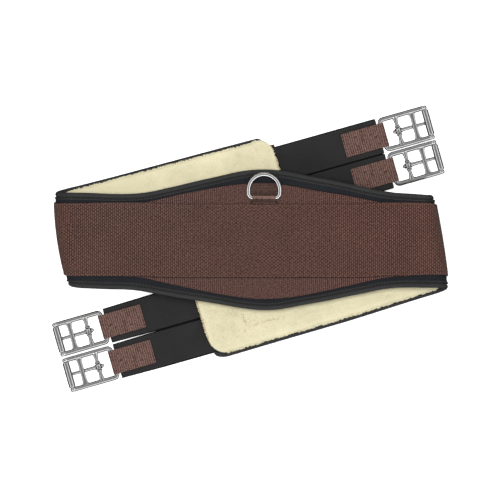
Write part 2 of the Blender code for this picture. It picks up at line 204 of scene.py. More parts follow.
def flare(s, before, after):
    """From 1 at the belly's middle to 0 at the lengths before and after it: a round top, straight
    flanks and soft feet."""
    q = np.minimum(np.abs(s) / np.where(s < 0, before, after), 1.0)
    crown, foot = 0.35, 0.8
    slope = 1 / (crown / 2 + foot - crown + (1 - foot) / 2)
    top = 1 - slope * q * q / (2 * crown)
    flank = 1 - slope * (q - crown / 2)
    toe = slope * (1 - q) ** 2 / (2 * (1 - foot))
    return np.where(q < crown, top, np.where(q < foot, flank, toe))


def bulge_at(s, bulges):
    return sum(height * np.exp(-(((s - middle) / reach) ** 2)) for middle, reach, height in bulges)


def pad_edge(s, side, inset=0.0, radius=None):
    """The pad's half width at s on one side, with its end corners rounded."""
    if radius is None:
        radius = PAD_CORNER - inset
    width = PAD_HALF_WIDTH[side] + PAD_FLARE[side] * flare(s, *PAD_FLARE_LENGTHS[side]) - inset
    width = width + bulge_at(s, PAD_BULGES[side])
    past_flare = (np.abs(s) - PAD_FLARE_LENGTH) / (PAD_HALF_LENGTH - PAD_FLARE_LENGTH)
    width = width - PAD_TAPER[side] * smoothstep(past_flare)
    into_corner = np.maximum(radius - (PAD_HALF_LENGTH - inset - np.abs(s)), 0.0)
    return width - (radius - np.sqrt(np.maximum(radius**2 - into_corner**2, 0.0)))


def of_side(s, key):
    return np.where(s > 0, FOLDS[1][key], FOLDS[-1][key])


def station_tilt(s):
    """The slant of the layers' cross lines: along the fold line in a fold, square elsewhere."""
    lean, start = of_side(s, "lean"), of_side(s, "start")
    fold_start = start / np.cos(lean)
    fold_end = fold_start + math.pi * FOLD_RADIUS / np.cos(lean)
    square_to, slant_from = 110 * MM, fold_start - 12 * MM
    before = smoothstep((np.abs(s) - square_to) / (slant_from - square_to))
    slant_to, square_from = fold_end + 10 * MM, PAD_HALF_LENGTH - 25 * MM
    after = smoothstep((square_from - np.abs(s)) / (square_from - slant_to))
    return lean * np.minimum(before, after)


def girth_points(s, t, depth):
    """Where points s along, t across and depth inside the girth lie once the girth is folded."""
    s, t, depth = np.broadcast_arrays(s, t, depth)
    side = np.where(s > 0, 1.0, -1.0)
    lean, start = of_side(s, "lean"), of_side(s, "start")
    ahead = side * (s * np.cos(lean) + t * np.sin(lean))
    along = t * np.cos(lean) - s * np.sin(lean)
    turn = (ahead - start) / FOLD_RADIUS
    belly_z = 2 * FOLD_RADIUS - BELLY_SAG * smoothstep((start - ahead) / SAG_LENGTH) - depth
    across = t / PAD_HALF_WIDTH[1]
    bulge = of_side(s, "bow") * (1 - across**2) - side * of_side(s, "skew") * across
    fold_reach = start + (FOLD_RADIUS - depth + bulge) * np.sin(turn)
    fold_z = FOLD_RADIUS + (FOLD_RADIUS - depth) * np.cos(turn)
    past = np.maximum(ahead - start - math.pi * FOLD_RADIUS, 0.0)
    arm_reach = start - past * (1 + of_side(s, "pull"))
    along = along + of_side(s, "drift") * smoothstep(past / of_side(s, "reach"))
    on_belly, in_fold = turn <= 0, turn < math.pi
    reach = np.where(on_belly, ahead, np.where(in_fold, fold_reach, arm_reach))
    z = np.where(on_belly, belly_z, np.where(in_fold, fold_z, depth))
    x = BELLY_CENTRE[0] + side * reach * np.cos(lean) - along * np.sin(lean)
    y = BELLY_CENTRE[1] + side * reach * np.sin(lean) + along * np.cos(lean)
    return np.stack([x, y, z], axis=-1)


def slanted(s, t):
    """Where along the girth the places t across the slanting cross lines at s really are."""
    return s - t * np.tan(station_tilt(s))


def girth_normals(s, t, depth):
    """The girth's outward directions at those points."""
    step = 0.05 * MM
    inwards = girth_points(s, t, depth + step) - girth_points(s, t, depth - step)
    return -inwards / np.linalg.norm(inwards, axis=-1, keepdims=True)


def spread(first, last, step):
    """Evenly spaced values from first to last, about a step apart, without the last."""
    count = max(1, math.ceil(abs(last - first) / step - 1e-6))
    return first + (last - first) * np.arange(count) / count


def fold_span(side):
    fold = FOLDS[side]
    start = fold["start"] / math.cos(fold["lean"])
    return start, start + math.pi * FOLD_RADIUS / math.cos(fold["lean"])


def stations(half_length, belly_step, outer_step, arm_step, corner=0.0):
    """Places along the girth: belly_step apart on the belly and round the outer quarter of the
    folds, outer_step apart in the rest of the folds, and arm_step apart along the arms."""
    quarter = 23.5 * MM
    halves = {}
    for side in (-1, 1):
        start, end = fold_span(side)
        middle = belly_step * round((start + quarter) / belly_step)
        run = [spread(0.0, middle, belly_step), spread(middle, end, outer_step)]
        run.append(spread(end, half_length - corner, arm_step))
        if corner:
            turns = np.radians(np.linspace(0, 90, 12))
            run.append(half_length - corner * (1 - np.sin(turns)))
        else:
            run.append(np.array([half_length]))
        halves[side] = np.concatenate(run)
    return np.concatenate([-halves[-1][:0:-1], halves[1]])


# --- Mesh builders ---


def new_object(name, points, faces, material, uv=None, body=None):
    mesh = bpy.data.meshes.new(name)
    mesh.from_pydata(np.asarray(points).reshape(-1, 3).tolist(), [], faces)
    if uv is not None:
        chart = mesh.uv_layers.new(name="Cloth")
        corners = np.empty(len(mesh.loops), np.int32)
        mesh.loops.foreach_get("vertex_index", corners)
        chart.data.foreach_set("uv", np.asarray(uv, np.float32).reshape(-1, 2)[corners].ravel())
    mesh.shade_smooth()
    mesh.materials.append(material)
    obj = bpy.data.objects.new(name, mesh)
    bpy.context.scene.collection.objects.link(obj)
    if body:
        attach(obj, body)
    return obj


def volume_of(points, quads):
    a, b, c, d = (points[quads[:, i]] for i in range(4))
    return (np.cross(a, b) * c).sum() + (np.cross(a, c) * d).sum()


def wrap_quads(count, around, closed=False):
    """The quads of count rings with around points each, and from the last ring to the first if
    closed."""
    index = np.arange(count * around).reshape(count, around)
    beside = np.roll(index, -1, axis=1)
    ahead, corner = np.roll(index, -1, axis=0), np.roll(beside, -1, axis=0)
    quads = np.stack([index, beside, corner, ahead], axis=-1)
    return (quads if closed else quads[:-1]).reshape(-1, 4)


def loop(name, rings, material):
    """A ring-shaped piece through rings."""
    points = rings.reshape(-1, 3)
    quads = wrap_quads(*rings.shape[:2], closed=True)
    if volume_of(points, quads) < 0:
        quads = quads[:, ::-1]
    return new_object(name, points, quads.tolist(), material)


def tube(rings):
    """The points and faces of a tube through rings, with its ends filled."""
    count, around = rings.shape[:2]
    first = np.arange(around)
    ends = [first[::-1].tolist(), (first + (count - 1) * around).tolist()]
    return rings.reshape(-1, 3), wrap_quads(count, around).tolist() + ends


def skin(name, rings, material, uv=None, body=None):
    """A closed tube through rings, an array of rings x points x 3, with flat ends."""
    points, faces = tube(rings)
    if volume_of(points, np.array(faces[:-2])) < 0:
        faces = [face[::-1] for face in faces]
    obj = new_object(name, points, faces, material, uv, body)
    for face in obj.data.polygons[-2:]:
        face.use_smooth = False
    return obj


EDGE_TURNS = np.radians([-64, -32, 0, 32, 64])


def slab(t_face, face, thick, under=5):
    """Sections of a flat layer with rounded edges. t_face and face, of rings x lanes, are the
    places across it and the depths of the face that is seen, and its other face is thick away."""
    radius = abs(thick) / 2
    turns = EDGE_TURNS[None, :]
    low, high = t_face[:, :1], t_face[:, -1:]
    right_t = high + radius * np.cos(turns)
    right_d = face[:, -1:] + thick / 2 * (1 + np.sin(turns))
    left_t = low - radius * np.cos(turns)
    left_d = face[:, :1] + thick / 2 * (1 - np.sin(turns))
    lanes = np.linspace(1, 0, under)[None, :]
    back_t = low + (high - low) * lanes
    back_d = face[:, :1] + (face[:, -1:] - face[:, :1]) * lanes + thick
    t = np.concatenate([t_face, right_t, back_t, left_t], axis=1)
    depth = np.concatenate([face, right_d, back_d, left_d], axis=1)
    return t, depth


def lanes_between(low, high, count):
    """Places across the girth at each station, evenly from low to high."""
    return low[:, None] + (high - low)[:, None] * np.linspace(0, 1, count)


def girth_layer(name, s, t, depth, material):
    """A layer of the girth from its sections at the stations s."""
    s_true = slanted(s[:, None], t)
    rings = girth_points(s_true, t, depth)
    uv = np.stack([s_true, t], axis=-1)
    return skin(name, rings, material, uv, "girth")


def waves(seed, count, shortest, longest):
    """A smooth random surface as a sum of sines, about -1 to 1, that takes two arrays."""
    chance = np.random.default_rng(seed)
    angles = chance.uniform(0, 2 * math.pi, count)
    sizes = 2 * math.pi / chance.uniform(shortest, longest, count)
    phases = chance.uniform(0, 2 * math.pi, count)

    def value(x, y):
        total = 0.0
        for angle, size, phase in zip(angles, sizes, phases):
            total = total + np.sin((x * math.cos(angle) + y * math.sin(angle)) * size + phase)
        return total / math.sqrt(2 * count)

    return value


def lathe(name, profile, sides, material, closed=False):
    """A turned piece about the Y axis from (y, radius) pairs. A closed profile makes a ring."""
    profile = np.asarray(profile, float)
    turns = 2 * math.pi * np.arange(sides) / sides
    x = profile[:, 1:] * np.sin(turns)
    z = profile[:, 1:] * np.cos(turns)
    y = np.repeat(profile[:, :1], sides, axis=1)
    rings = np.stack([x, y, z], axis=-1)
    return loop(name, rings, material) if closed else skin(name, rings, material)


def tube_rings(path, radii, sides, up, squash=1.0, cyclic=False):
    """Round sections along a path. up is roughly across the path, and squash flattens that way."""
    path = np.asarray(path, float)
    if cyclic:
        tangent = np.roll(path, -1, axis=0) - np.roll(path, 1, axis=0)
    else:
        tangent = np.gradient(path, axis=0)
    tangent /= np.linalg.norm(tangent, axis=1, keepdims=True)
    side = np.cross(np.broadcast_to(up, tangent.shape), tangent)
    side /= np.linalg.norm(side, axis=1, keepdims=True)
    lift = np.cross(tangent, side)
    turns = 2 * math.pi * np.arange(sides) / sides
    radii = np.broadcast_to(radii, len(path))[:, None, None]
    squash = np.broadcast_to(squash, len(path))[:, None, None]
    around = side[:, None] * np.cos(turns)[None, :, None]
    around = around + squash * lift[:, None] * np.sin(turns)[None, :, None]
    return path[:, None] + radii * around


def arc(centre, radius, first, last, count):
    """Points of an arc in a plane, from the angle first to the angle last in degrees."""
    turns = np.radians(np.linspace(first, last, count))
    return np.stack([centre[0] + radius * np.cos(turns), centre[1] + radius * np.sin(turns)], 1)


def stitches(name, starts, ends, normals, radius, material, body, bow=0.6):
    """A row of stitches: short threads that dip into the cloth at both ends."""
    starts, ends, normals = (np.asarray(value, float) for value in (starts, ends, normals))
    run = ends - starts
    along = run / np.linalg.norm(run, axis=1, keepdims=True)
    side = np.cross(normals, along)
    shares = np.array([0.0, 0.12, 0.35, 0.65, 0.88, 1.0])
    sizes = radius * np.array([0.55, 0.9, 1.0, 1.0, 0.9, 0.55])
    heights = radius * bow * np.array([-1.6, -0.2, 0.55, 0.55, -0.2, -1.6])
    turns = 2 * math.pi * np.arange(6) / 6
    centre = starts[:, None] + run[:, None] * shares[None, :, None]
    centre = centre + normals[:, None] * heights[None, :, None]
    ring = side[:, None] * np.cos(turns)[None, :, None]
    ring = ring + normals[:, None] * np.sin(turns)[None, :, None]
    points = centre[:, :, None] + ring[:, None] * sizes[None, :, None, None]
    count = len(starts)
    index = np.arange(count * 36).reshape(count, 6, 6)
    beside = np.roll(index, -1, axis=2)
    quads = np.stack([index[:, :-1], index[:, 1:], beside[:, 1:], beside[:, :-1]], axis=-1)
    flat = quads.reshape(-1, 4)
    caps = index[:, 0].tolist() + index[:, -1, ::-1].tolist()
    if volume_of(points.reshape(-1, 3), flat) < 0:
        flat = flat[:, ::-1]
        caps = index[:, 0, ::-1].tolist() + index[:, -1].tolist()
    return new_object(name, points, flat.tolist() + caps, material, None, body)


# --- Materials ---


class Value:
    """A number that nodes work out. Arithmetic on it adds nodes."""

    def __init__(self, nodes, socket):
        self.nodes = nodes
        self.socket = socket

    def __add__(self, other):
        return self.nodes.math("ADD", self, other)

    def __sub__(self, other):
        return self.nodes.math("SUBTRACT", self, other)

    def __mul__(self, other):
        return self.nodes.math("MULTIPLY", self, other)

    def __pow__(self, other):
        return self.nodes.math("POWER", self, other)

    def __abs__(self):
        return self.nodes.math("ABSOLUTE", self)


class Nodes:
    """A node tree, with short ways to add nodes to it."""

    def __init__(self, tree):
        self.tree = tree

    def put(self, value, socket):
        if isinstance(value, Value):
            value = value.socket
        if isinstance(value, bpy.types.NodeSocket):
            self.tree.links.new(value, socket)
        else:
            socket.default_value = value

    def add(self, kind, *values, **settings):
        """A node with these settings, and these values in its first sockets."""
        node = self.tree.nodes.new(kind)
        for name, setting in settings.items():
            setattr(node, name, setting)
        for value, socket in zip(values, node.inputs):
            self.put(value, socket)
        return node

    def math(self, operation, *values):
        return Value(self, self.add("ShaderNodeMath", *values, operation=operation).outputs[0])

    def wave(self, operation, value, period):
        """The SINE or COSINE of value, which repeats every period."""
        return self.math(operation, value * (2 * math.pi / period))

    def split(self, vector):
        return [Value(self, output) for output in self.add("ShaderNodeSeparateXYZ", vector).outputs]

    def cloth(self):
        """The flat coordinates along and across the cloth, in metres."""
        return self.split(self.add("ShaderNodeUVMap", uv_map="Cloth").outputs[0])[:2]

    def noise(self, scale, detail=3.0, place=None):
        node = self.add("ShaderNodeTexNoise")
        node.inputs["Scale"].default_value = scale
        node.inputs["Detail"].default_value = detail
        if place is None:
            place = self.add("ShaderNodeTexCoord").outputs["Object"]
        self.put(place, node.inputs["Vector"])
        return Value(self, node.outputs["Fac"])

    def join(self, x, y):
        return self.add("ShaderNodeCombineXYZ", x, y).outputs[0]

    def attribute(self, name):
        return Value(self, self.add("ShaderNodeAttribute", attribute_name=name).outputs["Fac"])

    def ramp(self, value, *stops):
        """Colours at positions from 0 to 1."""
        node = self.add("ShaderNodeValToRGB", value)
        while len(node.color_ramp.elements) < len(stops):
            node.color_ramp.elements.new(0.5)
        for element, (position, colour) in zip(node.color_ramp.elements, stops):
            element.position = position
            element.color = (*colour, 1.0)
        return node.outputs["Color"]

    def mix(self, share, first, second):
        """The first colour turning into the second as share goes from 0 to 1. Sockets 6 and 7 and
        output 2 are the node's colours."""
        node = self.add("ShaderNodeMix", share, data_type="RGBA")
        self.put(first, node.inputs[6])
        node.inputs[7].default_value = (*second, 1.0)
        return node.outputs[2]

    def tint(self, colour, brightness):
        """The colour times a brightness."""
        node = self.add("ShaderNodeVectorMath", colour, operation="SCALE")
        self.put(brightness, node.inputs["Scale"])
        return node.outputs[0]


class Finish(Nodes):
    """A material."""

    def __init__(self, name, roughness, sheen=0.0, metallic=0.0, specular=0.2):
        self.material = bpy.data.materials.new(name)
        self.material.use_nodes = True
        super().__init__(self.material.node_tree)
        self.shader = self.tree.nodes["Principled BSDF"]
        self.shader.inputs["Roughness"].default_value = roughness
        self.shader.inputs["Metallic"].default_value = metallic
        self.shader.inputs["Sheen Weight"].default_value = sheen
        self.shader.inputs["Sheen Roughness"].default_value = 0.5
        self.shader.inputs["Specular IOR Level"].default_value = specular

    def finish(self, colour, height, distance, roughness=None, strength=1.0):
        """The material, with this colour, and bumps of this height where it is 1."""
        self.put(colour, self.shader.inputs["Base Color"])
        if roughness is not None:
            self.put(roughness, self.shader.inputs["Roughness"])
        bump = self.add("ShaderNodeBump")
        bump.inputs["Distance"].default_value = distance
        bump.inputs["Strength"].default_value = strength
        self.put(height, bump.inputs["Height"])
        self.put(bump.outputs[0], self.shader.inputs["Normal"])
        return self.material


def ridges(finish, value, period, power):
    """The height of rounded ridges that repeat every period: 0 in the gaps and 1 on top."""
    return abs(finish.wave("COSINE", value, 2 * period)) ** power


def weave(column, sign, floats):
    """The height of the strap's weave, from 0 to 1, for arrays and for the values of nodes. column is
    1 or -1 in the middle of a column of floats, and floats is 1 or -1 in the middle of a float."""
    up = sign * floats * 0.5 + 0.5
    return abs(column) ** 0.6 * (up**0.55 * 0.6 + 0.4)


def strap_material():
    finish = Finish("strap_weave", 0.85)
    s, t = finish.cloth()
    column = finish.wave("COSINE", s, 2 * COLUMN)
    height = weave(column, finish.math("SIGN", column), finish.wave("COSINE", t, 2 * FLOAT))
    speckle = finish.noise(0.9, 2.0, finish.join(s * (1 / COLUMN), t * (1 / FLOAT)))
    colour = finish.ramp(
        height + (speckle * 1.1 - 0.55),
        (0.1, (0.008, 0.0035, 0.003)),
        (0.55, (0.052, 0.026, 0.020)),
        (1.0, (0.102, 0.056, 0.046)),
    )
    colour = finish.tint(colour, finish.noise(35.0) * 0.35 + 0.83)
    strand = finish.wave("SINE", s, 0.36 * MM)
    return finish.finish(colour, strand * 0.08 + height, 0.12 * MM)


def panel_material():
    finish = Finish("panel_ribs", 0.85)
    s, t = finish.cloth()
    ridge = ridges(finish, s, COLUMN, 1.1)
    speckle = finish.noise(1.3, 2.0, finish.join(s * (1 / COLUMN), t * (0.6 / MM)))
    colour = finish.ramp(
        ridge + (speckle * 1.8 - 0.9),
        (0.1, (0.007, 0.003, 0.0025)),
        (0.6, (0.042, 0.021, 0.017)),
        (1.0, (0.112, 0.060, 0.051)),
    )
    twist = finish.wave("SINE", t, 1.1 * MM)
    return finish.finish(colour, twist * 0.12 + ridge, 0.1 * MM)


def webbing_material(name, rib, wave, brightness, highlight_at=None):
    """Narrow webbing whose ribs run across it, and are crossed by floats of uneven length. The last
    argument is where along it a painted highlight brightens a ridge."""
    finish = Finish(name, 0.85)
    s, t = finish.cloth()
    sway = finish.noise(1.0, 2.0, finish.join(s * 160.0, t * 320.0)) - 0.5
    place = sway * wave + s
    ridge = ridges(finish, place, rib, 0.7)
    row = finish.math("ROUND", place * (1 / rib))
    speckle = finish.noise(1.7, 1.0, finish.join(row, t * (0.75 / MM)))
    colours = [(0.040, 0.018, 0.014), (0.108, 0.058, 0.047), (0.235, 0.142, 0.120)]
    dark, middle, light = (tuple(brightness * part for part in colour) for colour in colours)
    shade = ridge + (speckle * 2.4 - 1.2)
    colour = finish.ramp(shade, (0.05, dark), (0.55, middle), (1.0, light))
    if highlight_at is not None:
        # painted highlight: within 2 mm of that place the colour is brightened up to 3.4 times, for light on
        # the loop's ridge
        near = finish.math("MAXIMUM", abs(s - highlight_at) * (-0.5 / MM) + 1.0, 0.0)
        colour = finish.tint(colour, near * 2.4 + 1.0)
    twist = finish.wave("SINE", t, 0.8 * MM)
    return finish.finish(colour, twist * 0.15 + ridge, 0.1 * MM)


def black_cloth_material(name, colour, roughness, thread):
    """Plain black cloth with a fine weave."""
    finish = Finish(name, roughness)
    s, t = finish.cloth()
    fine = finish.wave("SINE", s, thread) * finish.wave("SINE", t, thread)
    brightness = fine * 0.08 + (finish.noise(60.0) * 0.5 + 0.75)
    return finish.finish(finish.tint(colour, brightness), fine, 0.05 * MM)


def elastic_material():
    """Fine ribs along the elastic, and painted shade that darkens its edges where the pair meet."""
    finish = Finish("elastic_ribs", 0.75)
    s, t = finish.cloth()
    height = finish.wave("SINE", s, 0.9 * MM) * 0.06 + ridges(finish, t, ELASTIC_RIB, 0.8)
    colour = finish.ramp(height, (0.0, (0.006,) * 3), (1.0, (0.0175,) * 3))
    colour = finish.tint(colour, finish.noise(40.0) * 0.4 + 0.8)
    # painted shade: the colour darkens near each side, for the shadow in the gap between the elastics
    edge = (abs(t) - (ELASTIC_WIDTH / 2 - 0.8 * MM)) * (2 / MM)
    edge = finish.math("MINIMUM", finish.math("MAXIMUM", edge, 0.0), 1.0)
    return finish.finish(finish.tint(colour, edge * -0.85 + 1.0), height, 0.1 * MM)


def fleece_material(name, tufted):
    finish = Finish(name, 0.95, sheen=0.1)
    grain = finish.noise(420.0, 2.0)
    shade = grain * 0.6 + 0.2
    if tufted:
        shade = finish.attribute("chance") * 0.7 + finish.attribute("along") - 0.3
    colour = finish.ramp(
        shade,
        (0.0, (0.41, 0.375, 0.255)),
        (0.5, (0.465, 0.43, 0.295)),
        (1.0, (0.525, 0.49, 0.345)),
    )
    colour = finish.tint(colour, finish.noise(28.0, 4.0) * 0.3 + 0.86)
    if tufted:
        colour = finish.mix(finish.attribute("stain"), colour, (0.22, 0.13, 0.06))
    return finish.finish(colour, grain, 0.3 * MM)


def thread_material(name, colour, roughness):
    finish = Finish(name, roughness, sheen=0.1)
    twist = finish.noise(2600.0, 1.0)
    return finish.finish(finish.tint(colour, twist * 0.8 + 0.6), twist, 0.05 * MM)


def foam_material():
    finish = Finish("foam", 0.95)
    cells = finish.noise(1400.0, 2.0)
    return finish.finish(finish.ramp(cells, (0.3, (0.02,) * 3), (0.7, (0.07,) * 3)), cells, 0.2 * MM)


def steel_material(name, brightness, marked):
    """Polished steel with faint polishing marks."""
    finish = Finish(name, 0.12, metallic=1.0, specular=0.5)
    marks = finish.noise(900.0, 3.0)
    smudges = finish.noise(120.0, 2.0)
    colour = finish.ramp(smudges, (0.3, (0.92 * brightness,) * 3), (0.7, (1.08 * brightness,) * 3))
    return finish.finish(colour, marks, 0.02 * MM, smudges * 0.1 + 0.05, marked)


def make_materials():
    return {
        "strap": strap_material(),
        "panel": panel_material(),
        "chape": webbing_material("chape_webbing", CHAPE_RIB, 2.4 * MM, 0.54),
        # The keeper's last number is where its painted highlight lies along it.
        "keeper": webbing_material("keeper_webbing", KEEPER_RIB, 0.9 * MM, 0.28, 16.4 * MM),
        "shell": black_cloth_material("shell_cloth", (0.0080, 0.0086, 0.0104), 0.7, 0.55 * MM),
        "tape": black_cloth_material("binding_tape", (0.020, 0.020, 0.0205), 0.5, 0.7 * MM),
        "elastic": elastic_material(),
        "fleece": fleece_material("fleece_ground", False),
        "tufts": fleece_material("fleece_tufts", True),
        "foam": foam_material(),
        "black_thread": thread_material("black_thread", (0.0035, 0.0035, 0.0035), 0.8),
        "brown_thread": thread_material("brown_thread", (0.10, 0.052, 0.043), 0.5),
        "dark_thread": thread_material("dark_thread", (0.022, 0.008, 0.007), 0.6),
        "steel": steel_material("steel", 0.47, 0.25),
        "ring_steel": steel_material("ring_steel", 0.66, 0.05),
    }


# --- The belly's layers ---


def rib_height(place, rib):
    """0 in the gaps and 1 on top of ribs this far apart."""
    return np.abs(np.cos(math.pi * place / rib))


def strap_depth(s):
    """The strap lies on the shell, and climbs onto the ribbed panel in the belly."""
    return -STRAP_RISE * smoothstep((152 * MM - np.abs(s)) / (16 * MM))


def strap_reach(s, side):
    """The strap's half width: it draws in at the middle of its upper edge, and towards the folds
    at its lower edge."""
    away = smoothstep((np.abs(s) - 95 * MM) / (35 * MM))
    if side == 1:
        near_fold = smoothstep((np.abs(s) - 155 * MM) / (40 * MM))
        drawn = 1.3 * MM - 1.8 * MM * away + 0.8 * MM * near_fold
    else:
        near_fold = smoothstep((s - 140 * MM) / (30 * MM))
        drawn = np.where(s < 0, 1.4 * MM, 1.9 * MM + 0.9 * MM * near_fold) * away
    return STRAP_HALF_WIDTH[side] - drawn


def make_strap(material):
    relief, lane = 0.28 * MM, FLOAT / 2
    woven = 27 * MM  # past the start of a fold, and how much later the left fold starts
    s = stations(STRAP_HALF_LENGTH, COLUMN / 4, 1.5 * MM, 8 * MM)
    low, high = STRAP_THICK / 2 - strap_reach(s, -1), strap_reach(s, 1) - STRAP_THICK / 2
    lanes = lane * np.arange(-42, 44)
    t = np.concatenate([low[:, None], np.repeat(lanes[None], len(s), axis=0), high[:, None]], axis=1)
    s_true = slanted(s[:, None], t)
    start, _ = fold_span(1)
    fade = (start + woven - np.abs(s) + woven * (s < 0)) / (4 * MM)
    seen = smoothstep(fade)[:, None]
    column = np.cos(math.pi * s_true / COLUMN)
    height = weave(column, np.sign(column), np.cos(math.pi * t / FLOAT)) * seen + 0.6 * (1 - seen)
    face = strap_depth(s)[:, None] + relief * (1 - height)
    t, depth = slab(t, face, STRAP_THICK - relief)
    strap = girth_layer("strap_webbing", s, t, depth, material)
    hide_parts("main_strap")


def panel_reach(s, side):
    width = PANEL_HALF_WIDTH + PANEL_FLARE[side] * flare(s, PANEL_LENGTH, PANEL_LENGTH)
    return width + bulge_at(s, PANEL_BULGES[side])


def make_panel(material):
    relief = 0.25 * MM
    s = np.arange(-290, 291) * COLUMN / 4
    s = s[np.abs(s) < PANEL_LENGTH]
    t = lanes_between(PANEL_THICK / 2 - panel_reach(s, -1), panel_reach(s, 1) - PANEL_THICK / 2, 15)
    ribs = rib_height(s, COLUMN)[:, None] ** 0.7
    face = PANEL_DEPTH + relief * (1 - ribs) + 0 * t
    t, depth = slab(t, face, PANEL_THICK - relief)
    panel = girth_layer("ribbed_panel", s, t, depth, material)
    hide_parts("flare_panel")
    spare = (PANEL_FLARE[1] + PANEL_FLARE[-1]) * (1 - float(flare(s, PANEL_LENGTH, PANEL_LENGTH).mean()))


def pad_lanes(s, inset, count):
    """Lanes across the pad, this far inside its edge."""
    return lanes_between(-pad_edge(s, -1, inset), pad_edge(s, 1, inset), count)


def fleece_edge(s, side, inset):
    """The fleece's half width. On the upper side it swells over the binding's ends."""
    swell = -0.6 * MM
    if side == 1:
        swell = 2.2 * MM * smoothstep((np.abs(s) - PAD_HALF_LENGTH + 30 * MM) / (15 * MM))
    return pad_edge(s, side, inset, FLEECE_CORNER) + swell


def make_shell(material):
    inset = EDGE_INSET + SHELL_THICK / 2
    s = stations(PAD_HALF_LENGTH - inset, 2 * MM, 1.5 * MM, 4 * MM, PAD_CORNER - inset)
    t = pad_lanes(s, inset, 45)
    t, depth = slab(t, SHELL_DEPTH + 0 * t, SHELL_THICK)
    shell = girth_layer("shell_cloth", s, t, depth, material)
    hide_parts("outer_shell")
    widths = pad_edge(s, 1) + pad_edge(s, -1)
    mean_width = float(((widths[1:] + widths[:-1]) / 2 * np.diff(s)).sum()) / (2 * PAD_HALF_LENGTH)


def make_foam(material):
    inset = EDGE_INSET + MM + FOAM_THICK / 2
    s = stations(PAD_HALF_LENGTH - 34 * MM, 4 * MM, 1.5 * MM, 8 * MM)
    t = pad_lanes(s, inset, 21)
    t, depth = slab(t, FOAM_DEPTH + 0 * t, FOAM_THICK)
    foam = girth_layer("foam_pad", s, t, depth, material)
    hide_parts("foam_core")


def binding_section():
    """The rolled tape: (inwards from the pad's edge, depth). A bead, a groove, and a lip on the
    shell that the stitches hold."""
    bead = arc((BEAD_RADIUS, BEAD_DEPTH), BEAD_RADIUS, -22, -322, 24)
    lip = np.array([[7.5, 2.0], [7.55, 1.85], [7.2, 1.68], [6.2, 1.68], [5.75, 1.9], [5.45, 2.8]]) * MM
    back = np.array([[5.45, 5.6], [5.6, 4.4], [5.62, 3.1], [5.7, 2.06]]) * MM
    return np.concatenate([lip, bead, back])


def binding_path(side):
    """The pad's edge on one side: s, t and the way inwards. On the lower side the binding turns
    into the corners, and on the upper side it ends under the fleece."""
    straight_end = PAD_HALF_LENGTH - PAD_CORNER + (6 * MM if side == 1 else 0.0)
    step = 0.8 * MM
    s = stations(straight_end, step, step, step)
    t = side * pad_edge(s, side)
    s_true = slanted(s, t)
    if side == -1:
        turns = np.radians(np.linspace(0, 48, 15)[1:])
        centre_t = PAD_HALF_WIDTH[side] - PAD_TAPER[side] - PAD_CORNER
        corner_t = side * (centre_t + PAD_CORNER * np.cos(turns))
        corner_s = straight_end + PAD_CORNER * np.sin(turns)
        s_true = np.concatenate([-corner_s[::-1], s_true, corner_s])
        t = np.concatenate([corner_t[::-1], t, corner_t])
    run_s, run_t = np.gradient(s_true), np.gradient(t)
    length = np.hypot(run_s, run_t)
    inward_s, inward_t = side * run_t / length, -side * run_s / length
    along = np.concatenate([[0.0], np.cumsum(np.hypot(np.diff(s_true), np.diff(t)))])
    return s_true, t, inward_s, inward_t, along


def make_binding(word, side, tape, thread):
    s, t, inward_s, inward_t, along = binding_path(side)
    section = binding_section()
    reach, depth = section[None, :, 0], section[None, :, 1]
    pull = 0.5 + 0.5 * np.cos(2 * math.pi * along / STITCH_PITCH)[:, None]
    dimple, lip_start = 0.12 * MM, 4.6 * MM
    depth = depth + dimple * pull * smoothstep((reach - lip_start) / MM)
    ends = np.minimum(along, along[-1] - along)[:, None]
    size = 0.35 + 0.65 * smoothstep(ends / (5 * MM))
    reach = BEAD_RADIUS * (1 - size) + reach * size
    depth = BEAD_DEPTH + (depth - BEAD_DEPTH) * size
    s_all = s[:, None] + inward_s[:, None] * reach
    t_all = t[:, None] + inward_t[:, None] * reach
    rings = girth_points(s_all, t_all, depth)
    uv = np.stack(np.broadcast_arrays(along[:, None], np.arange(len(section)) * 1.1 * MM), axis=-1)
    binding = skin(f"binding_{word}", rings, tape, uv, "girth")
    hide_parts(f"edge_binding_{word}")

    lip_depth = 1.62 * MM
    firsts = np.arange(5 * MM, along[-1] - 5 * MM, STITCH_PITCH)
    ends, normals = [], []
    for places in (firsts, firsts + STITCH_LENGTH):
        at_s = np.interp(places, along, s) + np.interp(places, along, inward_s) * STITCH_INSET
        at_t = np.interp(places, along, t) + np.interp(places, along, inward_t) * STITCH_INSET
        ends.append(girth_points(at_s, at_t, lip_depth))
        normals.append(girth_normals(at_s, at_t, lip_depth))
    name = f"binding_stitches_{word}"
    row = stitches(name, *ends, sum(normals) / 2, 0.58 * MM, thread, "girth")
    return binding, row


def make_strap_seams(thread, dark_thread):
    """The stitches that hold the strap down, a row along each edge and one across it, and a dark cord
    that paints the shadow in the crevice of its lower edge."""
    s = np.arange(-220 * MM, 195 * MM, STITCH_PITCH)
    rows = []
    for side in (-1, 1):
        rows.append([(at, side * (strap_reach(at, side) - SEAM_INSET)) for at in (s, s + STITCH_LENGTH)])
    cross_seam, t = 54 * MM, np.arange(-35 * MM, 34 * MM, STITCH_PITCH)
    rows.append([(cross_seam, t), (cross_seam, t + STITCH_LENGTH)])
    ends = []
    for places in zip(*rows):
        points = [girth_points(s, t, strap_depth(s) - 0.02 * MM) for s, t in places]
        ends.append(np.concatenate(points))
    normals = np.concatenate([girth_normals(*first, strap_depth(first[0])) for first, _ in rows])
    row = stitches("strap_stitches", *ends, normals, 0.26 * MM, thread, "girth")
    # painted shadow: a dark cord along the strap's lower edge stands for the shade in the crevice there
    s = np.arange(-PANEL_LENGTH, PANEL_LENGTH, 2 * MM)
    path = girth_points(s, -strap_reach(s, -1) - 0.28 * MM, 0.42 * MM)
    cord = tube_rings(path, 0.33 * MM, 8, (0, 0, 1))
    cord = skin("strap_edge_cord", cord, dark_thread, None, "girth")


# --- Fleece ---


